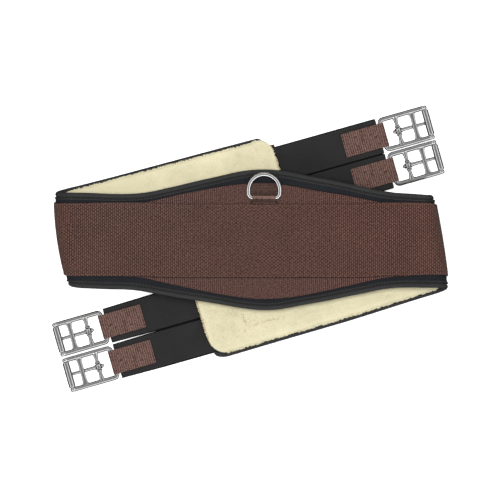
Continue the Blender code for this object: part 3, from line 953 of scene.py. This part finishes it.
def make_fleece(material):
    inset = EDGE_INSET + 0.5 * MM
    s = stations(PAD_HALF_LENGTH - inset, 2.5 * MM, 1.5 * MM, 2 * MM, FLEECE_CORNER)
    t = lanes_between(-fleece_edge(s, -1, inset), fleece_edge(s, 1, inset), 49)
    lumps, dimples = waves(SEED, 24, 7 * MM, 22 * MM), waves(SEED + 1, 24, 2.5 * MM, 6 * MM)
    s_true = slanted(s[:, None], t)
    start = of_side(s, "start") / np.cos(of_side(s, "lean"))
    folded = smoothstep((np.abs(s) - start + 12 * MM) / (10 * MM))
    folded = folded * smoothstep((start + 58 * MM - np.abs(s)) / (10 * MM))
    loose = (1 - folded)[:, None]
    face = PAD_THICK - 0.8 * MM + loose * (0.3 * MM * lumps(s_true, t) + 0.12 * MM * dimples(s_true, t))
    t, depth = slab(t, face, FLEECE_DEPTH - PAD_THICK + 0.8 * MM, under=9)
    fleece = girth_layer("fleece_ground", s, t, depth, material)
    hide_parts("fleece_lining")


def tuft_mesh(name, roots, tips, bends, outward, radii, values, material):
    """Locks of pile: three-sided tapering blades from root to tip, bent on the way. Their normals
    follow the surface they grow from, so that they shade softly, as a pile does."""
    run = tips - roots
    length = np.linalg.norm(run, axis=1, keepdims=True)
    along = run / length
    helper = np.where(np.abs(along[:, :1]) < 0.8, [[1.0, 0.0, 0.0]], [[0.0, 1.0, 0.0]])
    side = np.cross(along, helper)
    side /= np.linalg.norm(side, axis=1, keepdims=True)
    up = np.cross(along, side)
    turns = 2 * math.pi * np.arange(3) / 3
    ring = side[:, None] * np.cos(turns)[None, :, None] + up[:, None] * np.sin(turns)[None, :, None]
    middle = roots + 0.55 * run + bends
    low = roots[:, None] + ring * radii[:, None, None]
    mid = middle[:, None] + ring * radii[:, None, None] * 0.85
    points = np.concatenate([low, mid, tips[:, None]], axis=1)
    count = len(roots)
    base = 7 * np.arange(count)[:, None]
    wall = [base + np.array([[i, (i + 1) % 3, 3 + (i + 1) % 3, 3 + i]]) for i in range(3)]
    cone = [base + np.array([[3 + i, 3 + (i + 1) % 3, 6]]) for i in range(3)]
    foot = base + np.array([[2, 1, 0]])
    faces = np.concatenate(wall).tolist() + np.concatenate([*cone, foot]).tolist()
    obj = new_object(name, points, faces, material, None, "girth")
    soft = 0.55 * np.concatenate([ring, ring, 0 * tips[:, None]], axis=1) + outward[:, None]
    soft /= np.linalg.norm(soft, axis=2, keepdims=True)
    obj.data.normals_split_custom_set_from_vertices(soft.reshape(-1, 3).tolist())
    values = {word: np.repeat(numbers, 7) for word, numbers in values.items()}
    shares = np.tile([0, 0, 0, 0.55, 0.55, 0.55, 1.0], count)
    for word, numbers in {"along": shares, **values}.items():
        attribute = obj.data.attributes.new(word, "FLOAT", "POINT")
        attribute.data.foreach_set("value", numbers.astype(np.float32))


def stain_at(s, t, chance):
    """How brown the pile is: pressed marks on the left arm, and dust along the ends."""
    across = np.exp(-(((s - MARK_S) / (1.1 * MM)) ** 2)) * smoothstep((t + 21 * MM) / (3 * MM))
    across = across * smoothstep((-4 * MM - t) / (3 * MM))
    along = np.exp(-(((t - MARK_T) / (1.0 * MM)) ** 2)) * smoothstep((s - 375 * MM) / (20 * MM))
    along = along * smoothstep((MARK_S - s) / (2 * MM))
    dust = smoothstep((np.abs(s) - PAD_HALF_LENGTH + EDGE_INSET + 1.6 * MM) / MM)
    return np.clip(across + 0.6 * along + 0.8 * dust * chance.random(len(s)), 0.0, 1.0)


def grow(name, s, t, depth, outward, chance, length, radius, material):
    """Tufts at flat places, leaning with the pile's own drift and outward at the pad's edges."""
    count = len(s)
    drift_s, drift_t = waves(SEED + 7, 12, 9 * MM, 30 * MM), waves(SEED + 8, 12, 9 * MM, 30 * MM)
    lean_s = 0.9 * drift_s(s, t) + chance.normal(0, 0.45, count) + outward[0]
    lean_t = 0.9 * drift_t(s, t) + chance.normal(0, 0.45, count) + outward[1]
    size = length * chance.uniform(0.75, 1.2, count)
    rise = size / np.sqrt(1 + lean_s**2 + lean_t**2)
    roots = girth_points(s, t, depth)
    tips = girth_points(s + lean_s * rise, t + lean_t * rise, depth + rise)
    bends = chance.normal(0, 0.18, (count, 3)) * size[:, None]
    radii = radius * chance.uniform(0.8, 1.3, count)
    facing = -girth_normals(s, t, depth)
    values = {"chance": chance.random(count), "stain": stain_at(s, t, chance)}
    tuft_mesh(name, roots, tips, bends, facing, radii, values, material)


def make_tufts(material):
    pitch = 1.15 * MM
    for word, side in (("right", -1), ("left", 1)):
        chance = np.random.default_rng(SEED + side)
        _, fold_end = fold_span(side)
        along = np.arange(fold_end - 4 * MM, PAD_HALF_LENGTH - EDGE_INSET, pitch)
        across = np.arange(-50 * MM, 50 * MM, pitch)
        s, t = (grid.ravel() for grid in np.meshgrid(along, across))
        s = s + chance.uniform(-0.5, 0.5, len(s)) * pitch
        t = t + chance.uniform(-0.5, 0.5, len(t)) * pitch
        limit = np.where(t > 0, fleece_edge(s, 1, EDGE_INSET), fleece_edge(s, -1, EDGE_INSET))
        inside = (np.abs(t) < limit - 0.2 * MM) & (s < PAD_HALF_LENGTH - EDGE_INSET)
        s, t, limit = s[inside], t[inside], limit[inside]
        rim = smoothstep((np.abs(t) - limit + 5 * MM) / (5 * MM)) * np.sign(t)
        tip = smoothstep((s - PAD_HALF_LENGTH + EDGE_INSET + 6 * MM) / (6 * MM))
        depth = PAD_THICK - 1.6 * MM - 1.2 * MM * (np.abs(rim) + tip)
        grow(
            f"fleece_tufts_{word}", side * s, t, depth, (side * tip * 0.9, rim * 0.9), chance,
            2.1 * MM, 0.5 * MM, material,
        )
    make_rim_tufts(material)


def make_rim_tufts(material):
    """The pile that stands out of the pad's edges all the way round."""
    chance = np.random.default_rng(SEED + 20)
    ragged = waves(SEED + 5, 12, 4 * MM, 16 * MM)
    rows = []
    for side in (-1, 1):
        count = 7000
        s = chance.uniform(-PAD_HALF_LENGTH + PAD_CORNER, PAD_HALF_LENGTH - PAD_CORNER, count)
        depth = chance.uniform(8.2, 11.9, count) * MM
        round_edge = 2.4 * MM * np.sqrt(np.maximum(1 - ((depth - 9.5 * MM) / (2.9 * MM)) ** 2, 0))
        t = side * (fleece_edge(s, side, EDGE_INSET + 0.5 * MM) + round_edge - 0.3 * MM)
        push = 0.95 + 0.75 * ragged(s, t)
        rows.append((slanted(s, t), t, depth, side * push))
    roots = np.concatenate(rows, axis=1)
    start = of_side(roots[0], "start")
    past_start = np.abs(roots[0]) - start
    roots = roots[:, (past_start < -4 * MM) | (past_start > math.pi * FOLD_RADIUS + 6 * MM)]
    s, t, depth, push = roots[:, chance.random(len(roots[0])) < 0.8 + 0.4 * ragged(*roots[:2])]
    grow("fleece_tufts_rim", s, t, depth, (0.0, push), chance, 2.0 * MM, 0.5 * MM, material)
    count = 1600
    side = np.where(np.arange(count) % 2 == 0, -1.0, 1.0)
    clear = PAD_CORNER + 3 * MM
    t = chance.uniform(clear - PAD_HALF_WIDTH[-1], PAD_HALF_WIDTH[1] - clear, count)
    s = side * (PAD_HALF_LENGTH - EDGE_INSET - chance.uniform(0.0, 0.6, count) * MM)
    depth = chance.uniform(8.0, 11.9, count) * MM
    grow("fleece_tufts_ends", s, t, depth, (side * 0.7, 0.0), chance, 1.7 * MM, 0.55 * MM, material)


# --- Elastics, chapes and the keeper ---


def axes_of(joints, tag):
    """The chape's flat frame and the buckle's frame as matrices, from the joints' places."""
    bar = Vector(joints[f"buckle_swing_{tag}"]["pos_m"])
    across = Vector(joints[f"buckle_swing_{tag}"]["axis"]).normalized()
    flat_x = across.cross(Vector((0, 0, 1))).normalized()
    roller = Vector(joints[f"roller_turn_{tag}"]["pos_m"])
    buckle_x = (roller - bar).normalized()
    frames = []
    for x in (flat_x, buckle_x):
        z = x.cross(across).normalized()
        frame = Matrix((x, across, z)).transposed().to_4x4()
        frame.translation = bar
        frames.append(frame)
    hinge = Vector(joints[f"tongue_swing_{tag}"]["pos_m"])
    return frames[0], frames[1], (hinge - bar).length, (roller - bar).length


def to_world(matrix, points):
    turn = np.array(matrix.to_3x3())
    return points @ turn.T + np.array(matrix.translation)


def resample(path, step):
    """The path's points at even steps, and how far along it each is."""
    path = np.asarray(path, float)
    lengths = np.concatenate([[0.0], np.cumsum(np.linalg.norm(np.diff(path, axis=0), axis=1))])
    places = np.linspace(0, lengths[-1], max(2, round(lengths[-1] / step) + 1))
    return np.stack([np.interp(places, lengths, path[:, i]) for i in range(path.shape[1])], 1), places


def soften(path, rounds):
    """The path with its corners eased, its ends kept."""
    path = np.array(path, float)
    for _ in range(rounds):
        path[1:-1] = (path[:-2] + 2 * path[1:-1] + path[2:]) / 4
    return path


def band(name, path, width, thick, lanes, relief, matrix, material, body, widen=None):
    """Webbing along a path in the XZ plane of matrix's frame. relief(along, across) lowers both
    its faces, and widen(along) is how much wider than width it is there."""
    path, along = resample(path, 0.5 * MM)
    tangent = np.gradient(path, axis=0)
    tangent /= np.linalg.norm(tangent, axis=1, keepdims=True)
    normal = np.stack([-tangent[:, 1], tangent[:, 0]], 1)
    edge = width / 2 - thick / 2
    across = np.linspace(-edge, edge, lanes)
    dent = relief(*np.meshgrid(along, across, indexing="ij"))
    upper, lower = thick / 2 - dent, -thick / 2 + dent
    side = thick / 2 * np.cos(EDGE_TURNS)
    y = np.concatenate([across, edge + side, across[::-1], -edge - side])
    y = np.repeat(y[None], len(along), axis=0)
    if widen is not None:
        y = y * (1 + widen(along) / width)[:, None]
    left = thick / 2 * np.sin(EDGE_TURNS) + 0 * along[:, None]
    offset = np.concatenate([upper, -left, lower[:, ::-1], left], axis=1)
    x = path[:, :1] + normal[:, :1] * offset
    z = path[:, 1:] + normal[:, 1:] * offset
    rings = to_world(matrix, np.stack([x, y, z], axis=-1))
    uv = np.stack([along[:, None] + 0 * y, y], axis=-1)
    return skin(name, rings, material, uv, body), along[-1]


def make_elastic(tag, reach, room, flat, material):
    """One elastic. room is how much the pair may widen before they touch."""
    root_z = ELASTIC_DEPTH - flat.translation.z
    clamp_z = CLAMP_HEIGHT - flat.translation.z
    tip = 3.8 * MM  # from the bar to the elastic's end
    path = [(-reach - ELASTIC_ROOT, root_z), (-reach + 2 * MM, root_z)]
    path += [(-reach + 30 * MM, clamp_z), (-tip, clamp_z)]
    path = soften(resample(path, 2 * MM)[0], 30)

    def ribs(along, across):
        return 0.13 * MM * (1 - rib_height(across, ELASTIC_RIB))

    run = reach + ELASTIC_ROOT - tip
    widening = 48 * MM if room > MM else 2 * MM  # the length over which it takes up that room

    def widen(along):
        return (room + 0.02 * MM) * np.clip((run - along) / widening, 0.0, 1.0)

    elastic, length = band(
        f"elastic_web_{tag}", path, ELASTIC_WIDTH, ELASTIC_THICK, 97, ribs, flat, material, None, widen
    )
    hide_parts(f"elastic_{tag}")
    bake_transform(elastic)


def chape_path():
    clamp = CLAMP_HEIGHT - BAR_HEIGHT
    grip = ELASTIC_THICK / 2 + 0.1 * MM + CHAPE_THICK / 2
    loop = BAR_RADIUS + GAP + 0.05 * MM + CHAPE_THICK / 2
    under = [(-CHAPE_LENGTH, clamp - grip), (-9 * MM, clamp - grip)]
    over = [(-9 * MM, clamp + grip), (-CHAPE_LENGTH, clamp + grip)]
    path = np.concatenate([under, arc((0.0, 0.0), loop, -95, 95, 24), over])
    return soften(resample(path, 0.5 * MM)[0], 12)


def chape_relief(along, across):
    place = along + CHAPE_WAVE * np.sin(2 * math.pi * across / CHAPE_WAVE_LENGTH)
    return 0.15 * MM * (1 - rib_height(place, CHAPE_RIB) ** 0.7)


def make_chape(tag, flat, webbing, thread, dark_thread):
    chape, length = band(
        f"chape_web_{tag}", chape_path(), CHAPE_WIDTH, CHAPE_THICK, 33, chape_relief, flat, webbing,
        f"webbing_{tag}",
    )
    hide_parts(f"chape_{tag}")
    top = chape_path()[-1][1] + CHAPE_THICK / 2
    starts, ends = [], []
    for x in (-CHAPE_LENGTH + 3.2 * MM, -CHAPE_LENGTH + 6.6 * MM):
        for y in np.arange(-10.8, 10.9, 2.4) * MM:
            starts.append((x, y, top))
            ends.append((x, y + 1.7 * MM, top))
    tack_starts = [(-7.4 * MM + 0.55 * MM * (i - 2), -1.1 * MM, top) for i in range(5)]
    tack_ends = [(x, 1.1 * MM, z) for x, _, z in tack_starts]
    for name, firsts, lasts, radius, yarn in (
        (f"chape_stitches_{tag}", starts, ends, 0.28 * MM, thread),
        (f"chape_tack_{tag}", tack_starts, tack_ends, 0.32 * MM, dark_thread),
    ):
        firsts, lasts = to_world(flat, np.array(firsts)), to_world(flat, np.array(lasts))
        normals = np.tile([0.0, 0.0, 1.0], (len(firsts), 1))
        row = stitches(name, firsts, lasts, normals, radius, yarn, f"webbing_{tag}")


def make_keeper(pivot, webbing, thread):
    flat_z = KEEPER_THICK / 2 - RING_WIRE
    shoulder = 4.4 * MM
    loop = RING_WIRE + GAP + KEEPER_THICK / 2
    top = [(KEEPER_TOP, flat_z), (shoulder + MM, flat_z), (shoulder, flat_z + 0.3 * MM)]
    bottom = [(-shoulder, flat_z + 0.3 * MM), (-shoulder - 0.6 * MM, flat_z), (KEEPER_BOTTOM, flat_z)]
    path = np.concatenate([top, arc((0.0, 0.0), loop, 20, 160, 20), bottom])
    path = soften(resample(path, 0.4 * MM)[0], 5)
    across_x = Matrix(((0, 1, 0), (1, 0, 0), (0, 0, 1))).to_4x4()
    matrix = Matrix.Translation(pivot) @ across_x

    def ribs(along, across):
        side = smoothstep((KEEPER_WIDTH / 2 - np.abs(across)) / (1.2 * MM))
        return 0.16 * MM * (1 - rib_height(along, KEEPER_RIB)) * side

    keeper, length = band("keeper_web", path, KEEPER_WIDTH, KEEPER_THICK, 25, ribs, matrix, webbing, "girth")
    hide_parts("ring_keeper")
    offset = np.array(pivot)
    seam_x, face_z = KEEPER_WIDTH / 2 - 2.2 * MM, flat_z + KEEPER_THICK / 2
    upward, across = np.arange(6.0, 14.0, 2.2) * MM, np.arange(-9.6, 9.0, 2.2) * MM
    starts = offset + np.concatenate([
        line(-seam_x, upward, face_z), line(seam_x, upward, face_z), line(across, 5.9 * MM, face_z),
    ])
    ends = starts + 1.5 * MM * np.repeat([[0, 1, 0], [1, 0, 0]], [2 * len(upward), len(across)], axis=0)
    normals = np.tile([0.0, 0.0, 1.0], (len(starts), 1))
    row = stitches("keeper_stitches", starts, ends, normals, 0.25 * MM, thread, "girth")
    # painted shadow: dark tacks beside the loop's ends stand for the shade under the ring's corners
    shadow_tack_x = np.array([-14.0, -13.4, -12.8, 12.8, 13.4, 14.0]) * MM
    tacks = [offset + line(shadow_tack_x, y, flat_z - KEEPER_THICK / 2) for y in mm(-3.0, -6.4)]
    tacks = stitches("keeper_tacks", *tacks, normals[:len(shadow_tack_x)], 0.4 * MM, thread, "girth")
    # painted shadow: a dark cord along the keeper's lower end stands for the shade in the crevice at the
    # strap's edge
    ends = np.array([[-KEEPER_WIDTH / 2 - MM, 0.0, 0.0], [KEEPER_WIDTH / 2 + MM, 0.0, 0.0]])
    path = offset + ends + [0.0, KEEPER_BOTTOM - 0.1 * MM, flat_z + 0.45 * MM]
    cord = skin("keeper_edge_cord", tube_rings(path, 0.5 * MM, 8, (0, 0, 1)), thread, None, "girth")


# --- Metal ---


def make_ring(pivot, steel):
    corner_x = RING_HALF_WIDTH - RING_CORNER
    outline = np.concatenate([
        arc((corner_x, RING_CORNER), RING_CORNER, -90, 0, 14)[:-1],
        arc((0.0, RING_SHOULDER), RING_HALF_WIDTH, 0, 180, 64),
        arc((-corner_x, RING_CORNER), RING_CORNER, 180, 270, 14)[1:],
    ])
    outline = resample(np.concatenate([outline, outline[:1]]), 0.9 * MM)[0][:-1]
    path = line(*outline.T, 0.0)
    sizes = RING_WIRE + 0.12 * MM + 0.2 * MM * smoothstep((path[:, 1] - MM) / (3 * MM))
    ring = loop("ring", tube_rings(path, sizes, 24, (0, 0, 1), cyclic=True), steel)
    ring.location = pivot
    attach(ring, "ring")
    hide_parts("d_ring")


def line(x, y, z):
    """Points from numbers and arrays of their coordinates."""
    return np.stack(np.broadcast_arrays(x, y, z), axis=1)


def rod(path, radii, squash=1.0, up=(0, 0, 1), sides=20):
    """A closed round bar as (points, faces), for joining with others."""
    return tube(tube_rings(path, radii, sides, up, squash))


def cast(name, parts, voxel, rounds, material):
    """One casting from overlapping parts: a voxel remesh, then smoothing that fills the corners."""
    points, faces, first = [], [], 0
    for part_points, part_faces in parts:
        points.append(part_points)
        faces += [[first + i for i in face] for face in part_faces]
        first += len(part_points)
    obj = new_object(name, np.concatenate(points), faces, material)
    remesh = obj.modifiers.new("remesh", "REMESH")
    remesh.mode = "VOXEL"
    remesh.voxel_size = voxel
    smooth = obj.modifiers.new("smooth", "SMOOTH")
    smooth.factor = 0.5
    smooth.iterations = rounds
    return apply_modifiers(obj)


def apply_modifiers(obj):
    bpy.context.view_layer.update()
    graph = bpy.context.evaluated_depsgraph_get()
    mesh = bpy.data.meshes.new_from_object(obj.evaluated_get(graph))
    old = obj.data
    obj.modifiers.clear()
    obj.data = mesh
    bpy.data.meshes.remove(old)
    mesh.shade_smooth()
    return obj


def drill(obj, radius, centre, length):
    """Cuts a round bore along Y."""
    ends = np.array([[centre[0], -length / 2, centre[1]], [centre[0], length / 2, centre[1]]])
    points, faces = rod(ends, radius, sides=32)
    cutter = new_object("cutter", points, faces, obj.data.materials[0])
    cut = obj.modifiers.new("bore", "BOOLEAN")
    cut.object = cutter
    cut.solver = "EXACT"
    apply_modifiers(obj)
    bpy.data.objects.remove(cutter)
    obj.data.set_sharp_from_angle(angle=math.radians(40))


def frame_casting(hinge_x, roller_x, steel):
    inner = FRAME_HALF_WIDTH - FRAME_CORNER
    corner = arc((FRAME_CORNER, inner), FRAME_CORNER, 90, 180, 9)
    outline = np.concatenate([
        [[roller_x - 1.2 * MM, FRAME_HALF_WIDTH]], corner, corner[::-1] * [1, -1],
        [[roller_x - 1.2 * MM, -FRAME_HALF_WIDTH]],
    ])
    outline = resample(outline, 1.0 * MM)[0]
    parts = [rod(line(*outline.T, 0.0), 1.21 * RAIL_RADIUS)]
    y = np.linspace(-1, 1, 61)
    bar = line(hinge_x, FRAME_HALF_WIDTH * y, 0.0)
    collar = np.exp(-(((np.abs(y) * FRAME_HALF_WIDTH - 4.2 * MM) / (0.9 * MM)) ** 4))
    sizes = 1.75 * MM + 1.9 * MM * np.abs(y) ** 4 + 1.15 * MM * collar
    flatness = np.where(np.abs(y) > 0.5, np.minimum(1.0, 1.95 * MM / sizes), 1.0)
    parts.append(rod(bar, sizes, flatness))
    guide = line(GUIDE_BAR_X, FRAME_HALF_WIDTH * y, 0.2 * MM)
    sizes = 2.4 * MM + 4.0 * MM * np.abs(y) ** 6
    parts.append(rod(guide, sizes, 1.3 * MM / sizes))
    for side in (-1, 1):
        lug = np.array([-2.2, -2.0, -1.6, -1.0, 0.0, 1.0, 1.6, 2.0, 2.2]) * MM
        sizes = np.sqrt((2.95 * MM) ** 2 - lug**2)
        lug = lug + side * FRAME_HALF_WIDTH
        parts.append(rod(line(roller_x, lug, 0.0), sizes))
    frame = cast("frame_casting", parts, 0.3 * MM, 7, steel)
    drill(frame, PIN_RADIUS + 0.12 * MM, (roller_x, 0.0), 50 * MM)
    return frame


def tongue_casting(hinge_x, roller_x, steel):
    tip_z = -(ROLLER_RADIUS + GAP + 1.4 * MM)
    reach = roller_x - hinge_x
    path = np.array([
        (2.6 * MM, 0, -0.6 * MM), (9 * MM, 0, -1.7 * MM), (GUIDE_BAR_X - hinge_x, 0, -3.3 * MM),
        (reach - 3 * MM, 0, tip_z + 0.1 * MM), (reach + 1.5 * MM, 0, tip_z),
    ])
    path = soften(resample(path, 1.0 * MM)[0], 6)
    share = np.linspace(0, 1, len(path))
    root_radius, tip_radius = mm(1.95, 1.5)
    radii = root_radius + (tip_radius - root_radius) * share
    radii[-2:] *= [0.9, 0.6]
    parts = [rod(path, radii, up=(0, 1, 0))]
    nub = np.array([(-6.0, 0, -0.4), (-5.4, 0, -0.4), (-4.2, 0, -0.3), (-1.5, 0, -0.1), (2.0, 0, -0.4)]) * MM
    parts.append(rod(nub, np.array([1.0, 1.65, 1.75, 1.9, 2.1]) * MM, up=(0, 1, 0)))
    y = np.array([-2.7, -2.5, -2.1, -1.7, -1.3, 0.0, 1.3, 1.7, 2.1, 2.5, 2.7]) * MM
    sizes = np.array([3.3, 3.75, 3.9, 3.75, 3.4, 3.35, 3.4, 3.75, 3.9, 3.75, 3.3]) * MM
    parts.append(rod(line(0.0, y, 0.0), sizes, sides=32))
    tongue = cast("tongue_casting", parts, 0.22 * MM, 4, steel)
    drill(tongue, BAR_RADIUS + 0.1 * MM, (0.0, 0.0), 20 * MM)
    return tongue


def roller_shape(steel):
    """A tube with rolled ends, about the Y axis."""
    half = FRAME_HALF_WIDTH - LUG_LENGTH / 2 - GAP
    outer, bore = ROLLER_RADIUS, PIN_RADIUS + GAP
    y = np.array([-1.0, -0.985, -0.955, -0.9, -0.5, 0.0, 0.5, 0.9, 0.955, 0.985, 1.0]) * half
    sizes = np.array([3.05, 3.25, 3.4, 3.46, 3.5, 3.5, 3.5, 3.46, 3.4, 3.25, 3.05]) * MM
    profile = np.concatenate([np.stack([y, sizes], 1), [[half, bore + 0.2 * MM], [half - 0.3 * MM, bore]]])
    profile = np.concatenate([profile, [[-half + 0.3 * MM, bore], [-half, bore + 0.2 * MM]]])
    roller = lathe("roller_tube", profile, 48, steel, closed=True)
    roller.data.set_sharp_from_angle(angle=math.radians(50))
    return roller


def pin_shape(steel):
    half = FRAME_HALF_WIDTH + LUG_LENGTH / 2
    y = np.array([-1.0, -0.995, -0.98, -0.9, 0.9, 0.98, 0.995, 1.0]) * half
    sizes = np.array([0.35, 0.8, 1.1, 1.2, 1.2, 1.1, 0.8, 0.35]) * MM
    return lathe("pin_rod", np.stack([y, sizes], 1), 24, steel)


def copy_to(source, name, matrix, body, node):
    obj = bpy.data.objects.new(name, source.data)
    bpy.context.scene.collection.objects.link(obj)
    obj.matrix_world = matrix
    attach(obj, body)
    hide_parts(node)


def make_buckles(joints, tags, finishes):
    _, _, hinge_x, roller_x = axes_of(joints, tags[0])
    steel = finishes["steel"]
    frame = frame_casting(hinge_x, roller_x, steel)
    tongue = tongue_casting(hinge_x, roller_x, steel)
    roller, pin = roller_shape(steel), pin_shape(steel)
    for tag in tags:
        flat, buckle, hinge_x, roller_x = axes_of(joints, tag)
        at_hinge = buckle @ Matrix.Translation((hinge_x, 0, 0))
        at_roller = buckle @ Matrix.Translation((roller_x, 0, 0))
        copy_to(frame, f"frame_{tag}", buckle, f"buckle_{tag}", f"buckle_frame_{tag}")
        copy_to(pin, f"pin_{tag}", at_roller, f"buckle_{tag}", f"roller_pin_{tag}")
        copy_to(roller, f"roller_barrel_{tag}", at_roller, f"roller_{tag}", f"roller_{tag}")
        copy_to(tongue, f"prong_{tag}", at_hinge, f"tongue_{tag}", f"tongue_{tag}")
        arm = tag.split("_")[0]
        make_elastic(tag, REACHES[arm], SPACINGS[arm] - ELASTIC_WIDTH, flat, finishes["elastic"])
        make_chape(tag, flat, finishes["chape"], finishes["brown_thread"], finishes["dark_thread"])
    for source in (frame, tongue, roller, pin):
        bpy.data.objects.remove(source)


# --- The studio ---

AMBIENT = 0.5  # the strength of the surrounding light on what doesn't shine
SKY_LEAN = (0.2, -0.5, 0.0)  # towards where shiny pieces see the studio brighter
# Bands of light and dark by height: the sine of the elevation, and how bright it is there
SKY_BANDS = (
    (-1.0, 0.05), (-0.05, 0.12), (-0.02, 0.9), (0.05, 0.9), (0.09, 0.08), (0.43, 0.06), (0.5, 2.4),
    (0.68, 2.4), (0.74, 0.25), (0.84, 0.22), (0.88, 0.7), (0.93, 0.7), (0.96, 0.3), (1.0, 0.35),
)


def make_floor():
    finish = Finish("floor", 0.9)
    colour = finish.ramp(finish.noise(3.0), (0.3, (0.86,) * 3), (0.7, (0.88,) * 3))
    finish.put(colour, finish.shader.inputs["Base Color"])
    finish.shader.inputs["Emission Color"].default_value = (1.0, 1.0, 1.0, 1.0)
    finish.shader.inputs["Emission Strength"].default_value = 0.5
    under = -0.2 * MM
    bpy.ops.mesh.primitive_plane_add(size=200.0, location=(0, 0, under))
    floor = bpy.context.object
    floor.name = "floor"
    floor.data.materials.append(finish.material)
    floor.visible_glossy = False


def make_sky():
    world = bpy.data.worlds.new("studio")
    bpy.context.scene.world = world
    world.use_nodes = True
    nodes = Nodes(world.node_tree)
    background = world.node_tree.nodes["Background"]
    direction = nodes.add("ShaderNodeTexCoord").outputs["Generated"]
    stops = [(0.5 + 0.5 * sine, (grey,) * 3) for sine, grey in SKY_BANDS]
    colour = nodes.ramp(nodes.split(direction)[2] * 0.5 + 0.5, *stops)
    nodes.put(colour, background.inputs["Color"])
    glossy = Value(nodes, nodes.add("ShaderNodeLightPath").outputs["Is Glossy Ray"])
    lean = nodes.add("ShaderNodeVectorMath", direction, SKY_LEAN, operation="DOT_PRODUCT")
    seen = Value(nodes, lean.outputs["Value"]) + (1.0 - AMBIENT)
    nodes.put(glossy * seen + AMBIENT, background.inputs["Strength"])


def add_lamp(name, power, place):
    light = bpy.data.lights.new(name, "AREA")
    light.shape = "DISK"
    light.size = 1.2
    light.energy = power
    lamp = bpy.data.objects.new(name, light)
    lamp.location = place
    lamp.rotation_euler = Vector(place).to_track_quat("Z", "Y").to_euler()
    lamp.visible_glossy = False
    bpy.context.scene.collection.objects.link(lamp)


def make_studio():
    bpy.context.scene.view_settings.view_transform = "Standard"
    make_floor()
    make_sky()
    add_lamp("key", 54.0, (-0.15, 0.2, 2.0))
    add_lamp("fill", 8.0, (0.3, -1.4, 0.9))


def make_camera():
    """Straight above the girth, through a long lens."""
    lens, sensor = 300.0, 36.0
    picture, picture_z = 522.5 * MM, 14 * MM  # how wide the picture is, and at which height
    height = picture_z + picture / 2 / (sensor / 2 / lens)
    camera = bpy.data.cameras.new("camera")
    camera.lens = lens
    camera.sensor_width = sensor
    camera.clip_start = 0.1
    camera.clip_end = 100.0
    obj = bpy.data.objects.new("camera", camera)
    obj.location = (0.4 * MM, -1.6 * MM, height)
    bpy.context.scene.collection.objects.link(obj)
    bpy.context.scene.camera = obj


def main():
    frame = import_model()
    joints = {joint["name"]: joint for joint in frame["joints"]}
    tags = [name.replace("roller_turn_", "") for name in joints if name.startswith("roller_turn_")]
    finishes = make_materials()
    make_studio()
    make_camera()
    make_strap(finishes["strap"])
    make_panel(finishes["panel"])
    trims = [*make_binding("upper", 1, finishes["tape"], finishes["black_thread"])]
    trims += make_binding("lower", -1, finishes["tape"], finishes["black_thread"])
    make_shell(finishes["shell"])
    make_foam(finishes["foam"])
    make_strap_seams(finishes["brown_thread"], finishes["dark_thread"])
    make_fleece(finishes["fleece"])
    make_tufts(finishes["tufts"])
    pivot = Vector(joints["ring_swing"]["pos_m"])
    make_ring(pivot, finishes["ring_steel"])
    make_keeper(pivot, finishes["keeper"], finishes["dark_thread"])
    make_buckles(joints, tags, finishes)
    bpy.context.view_layer.update()


main()
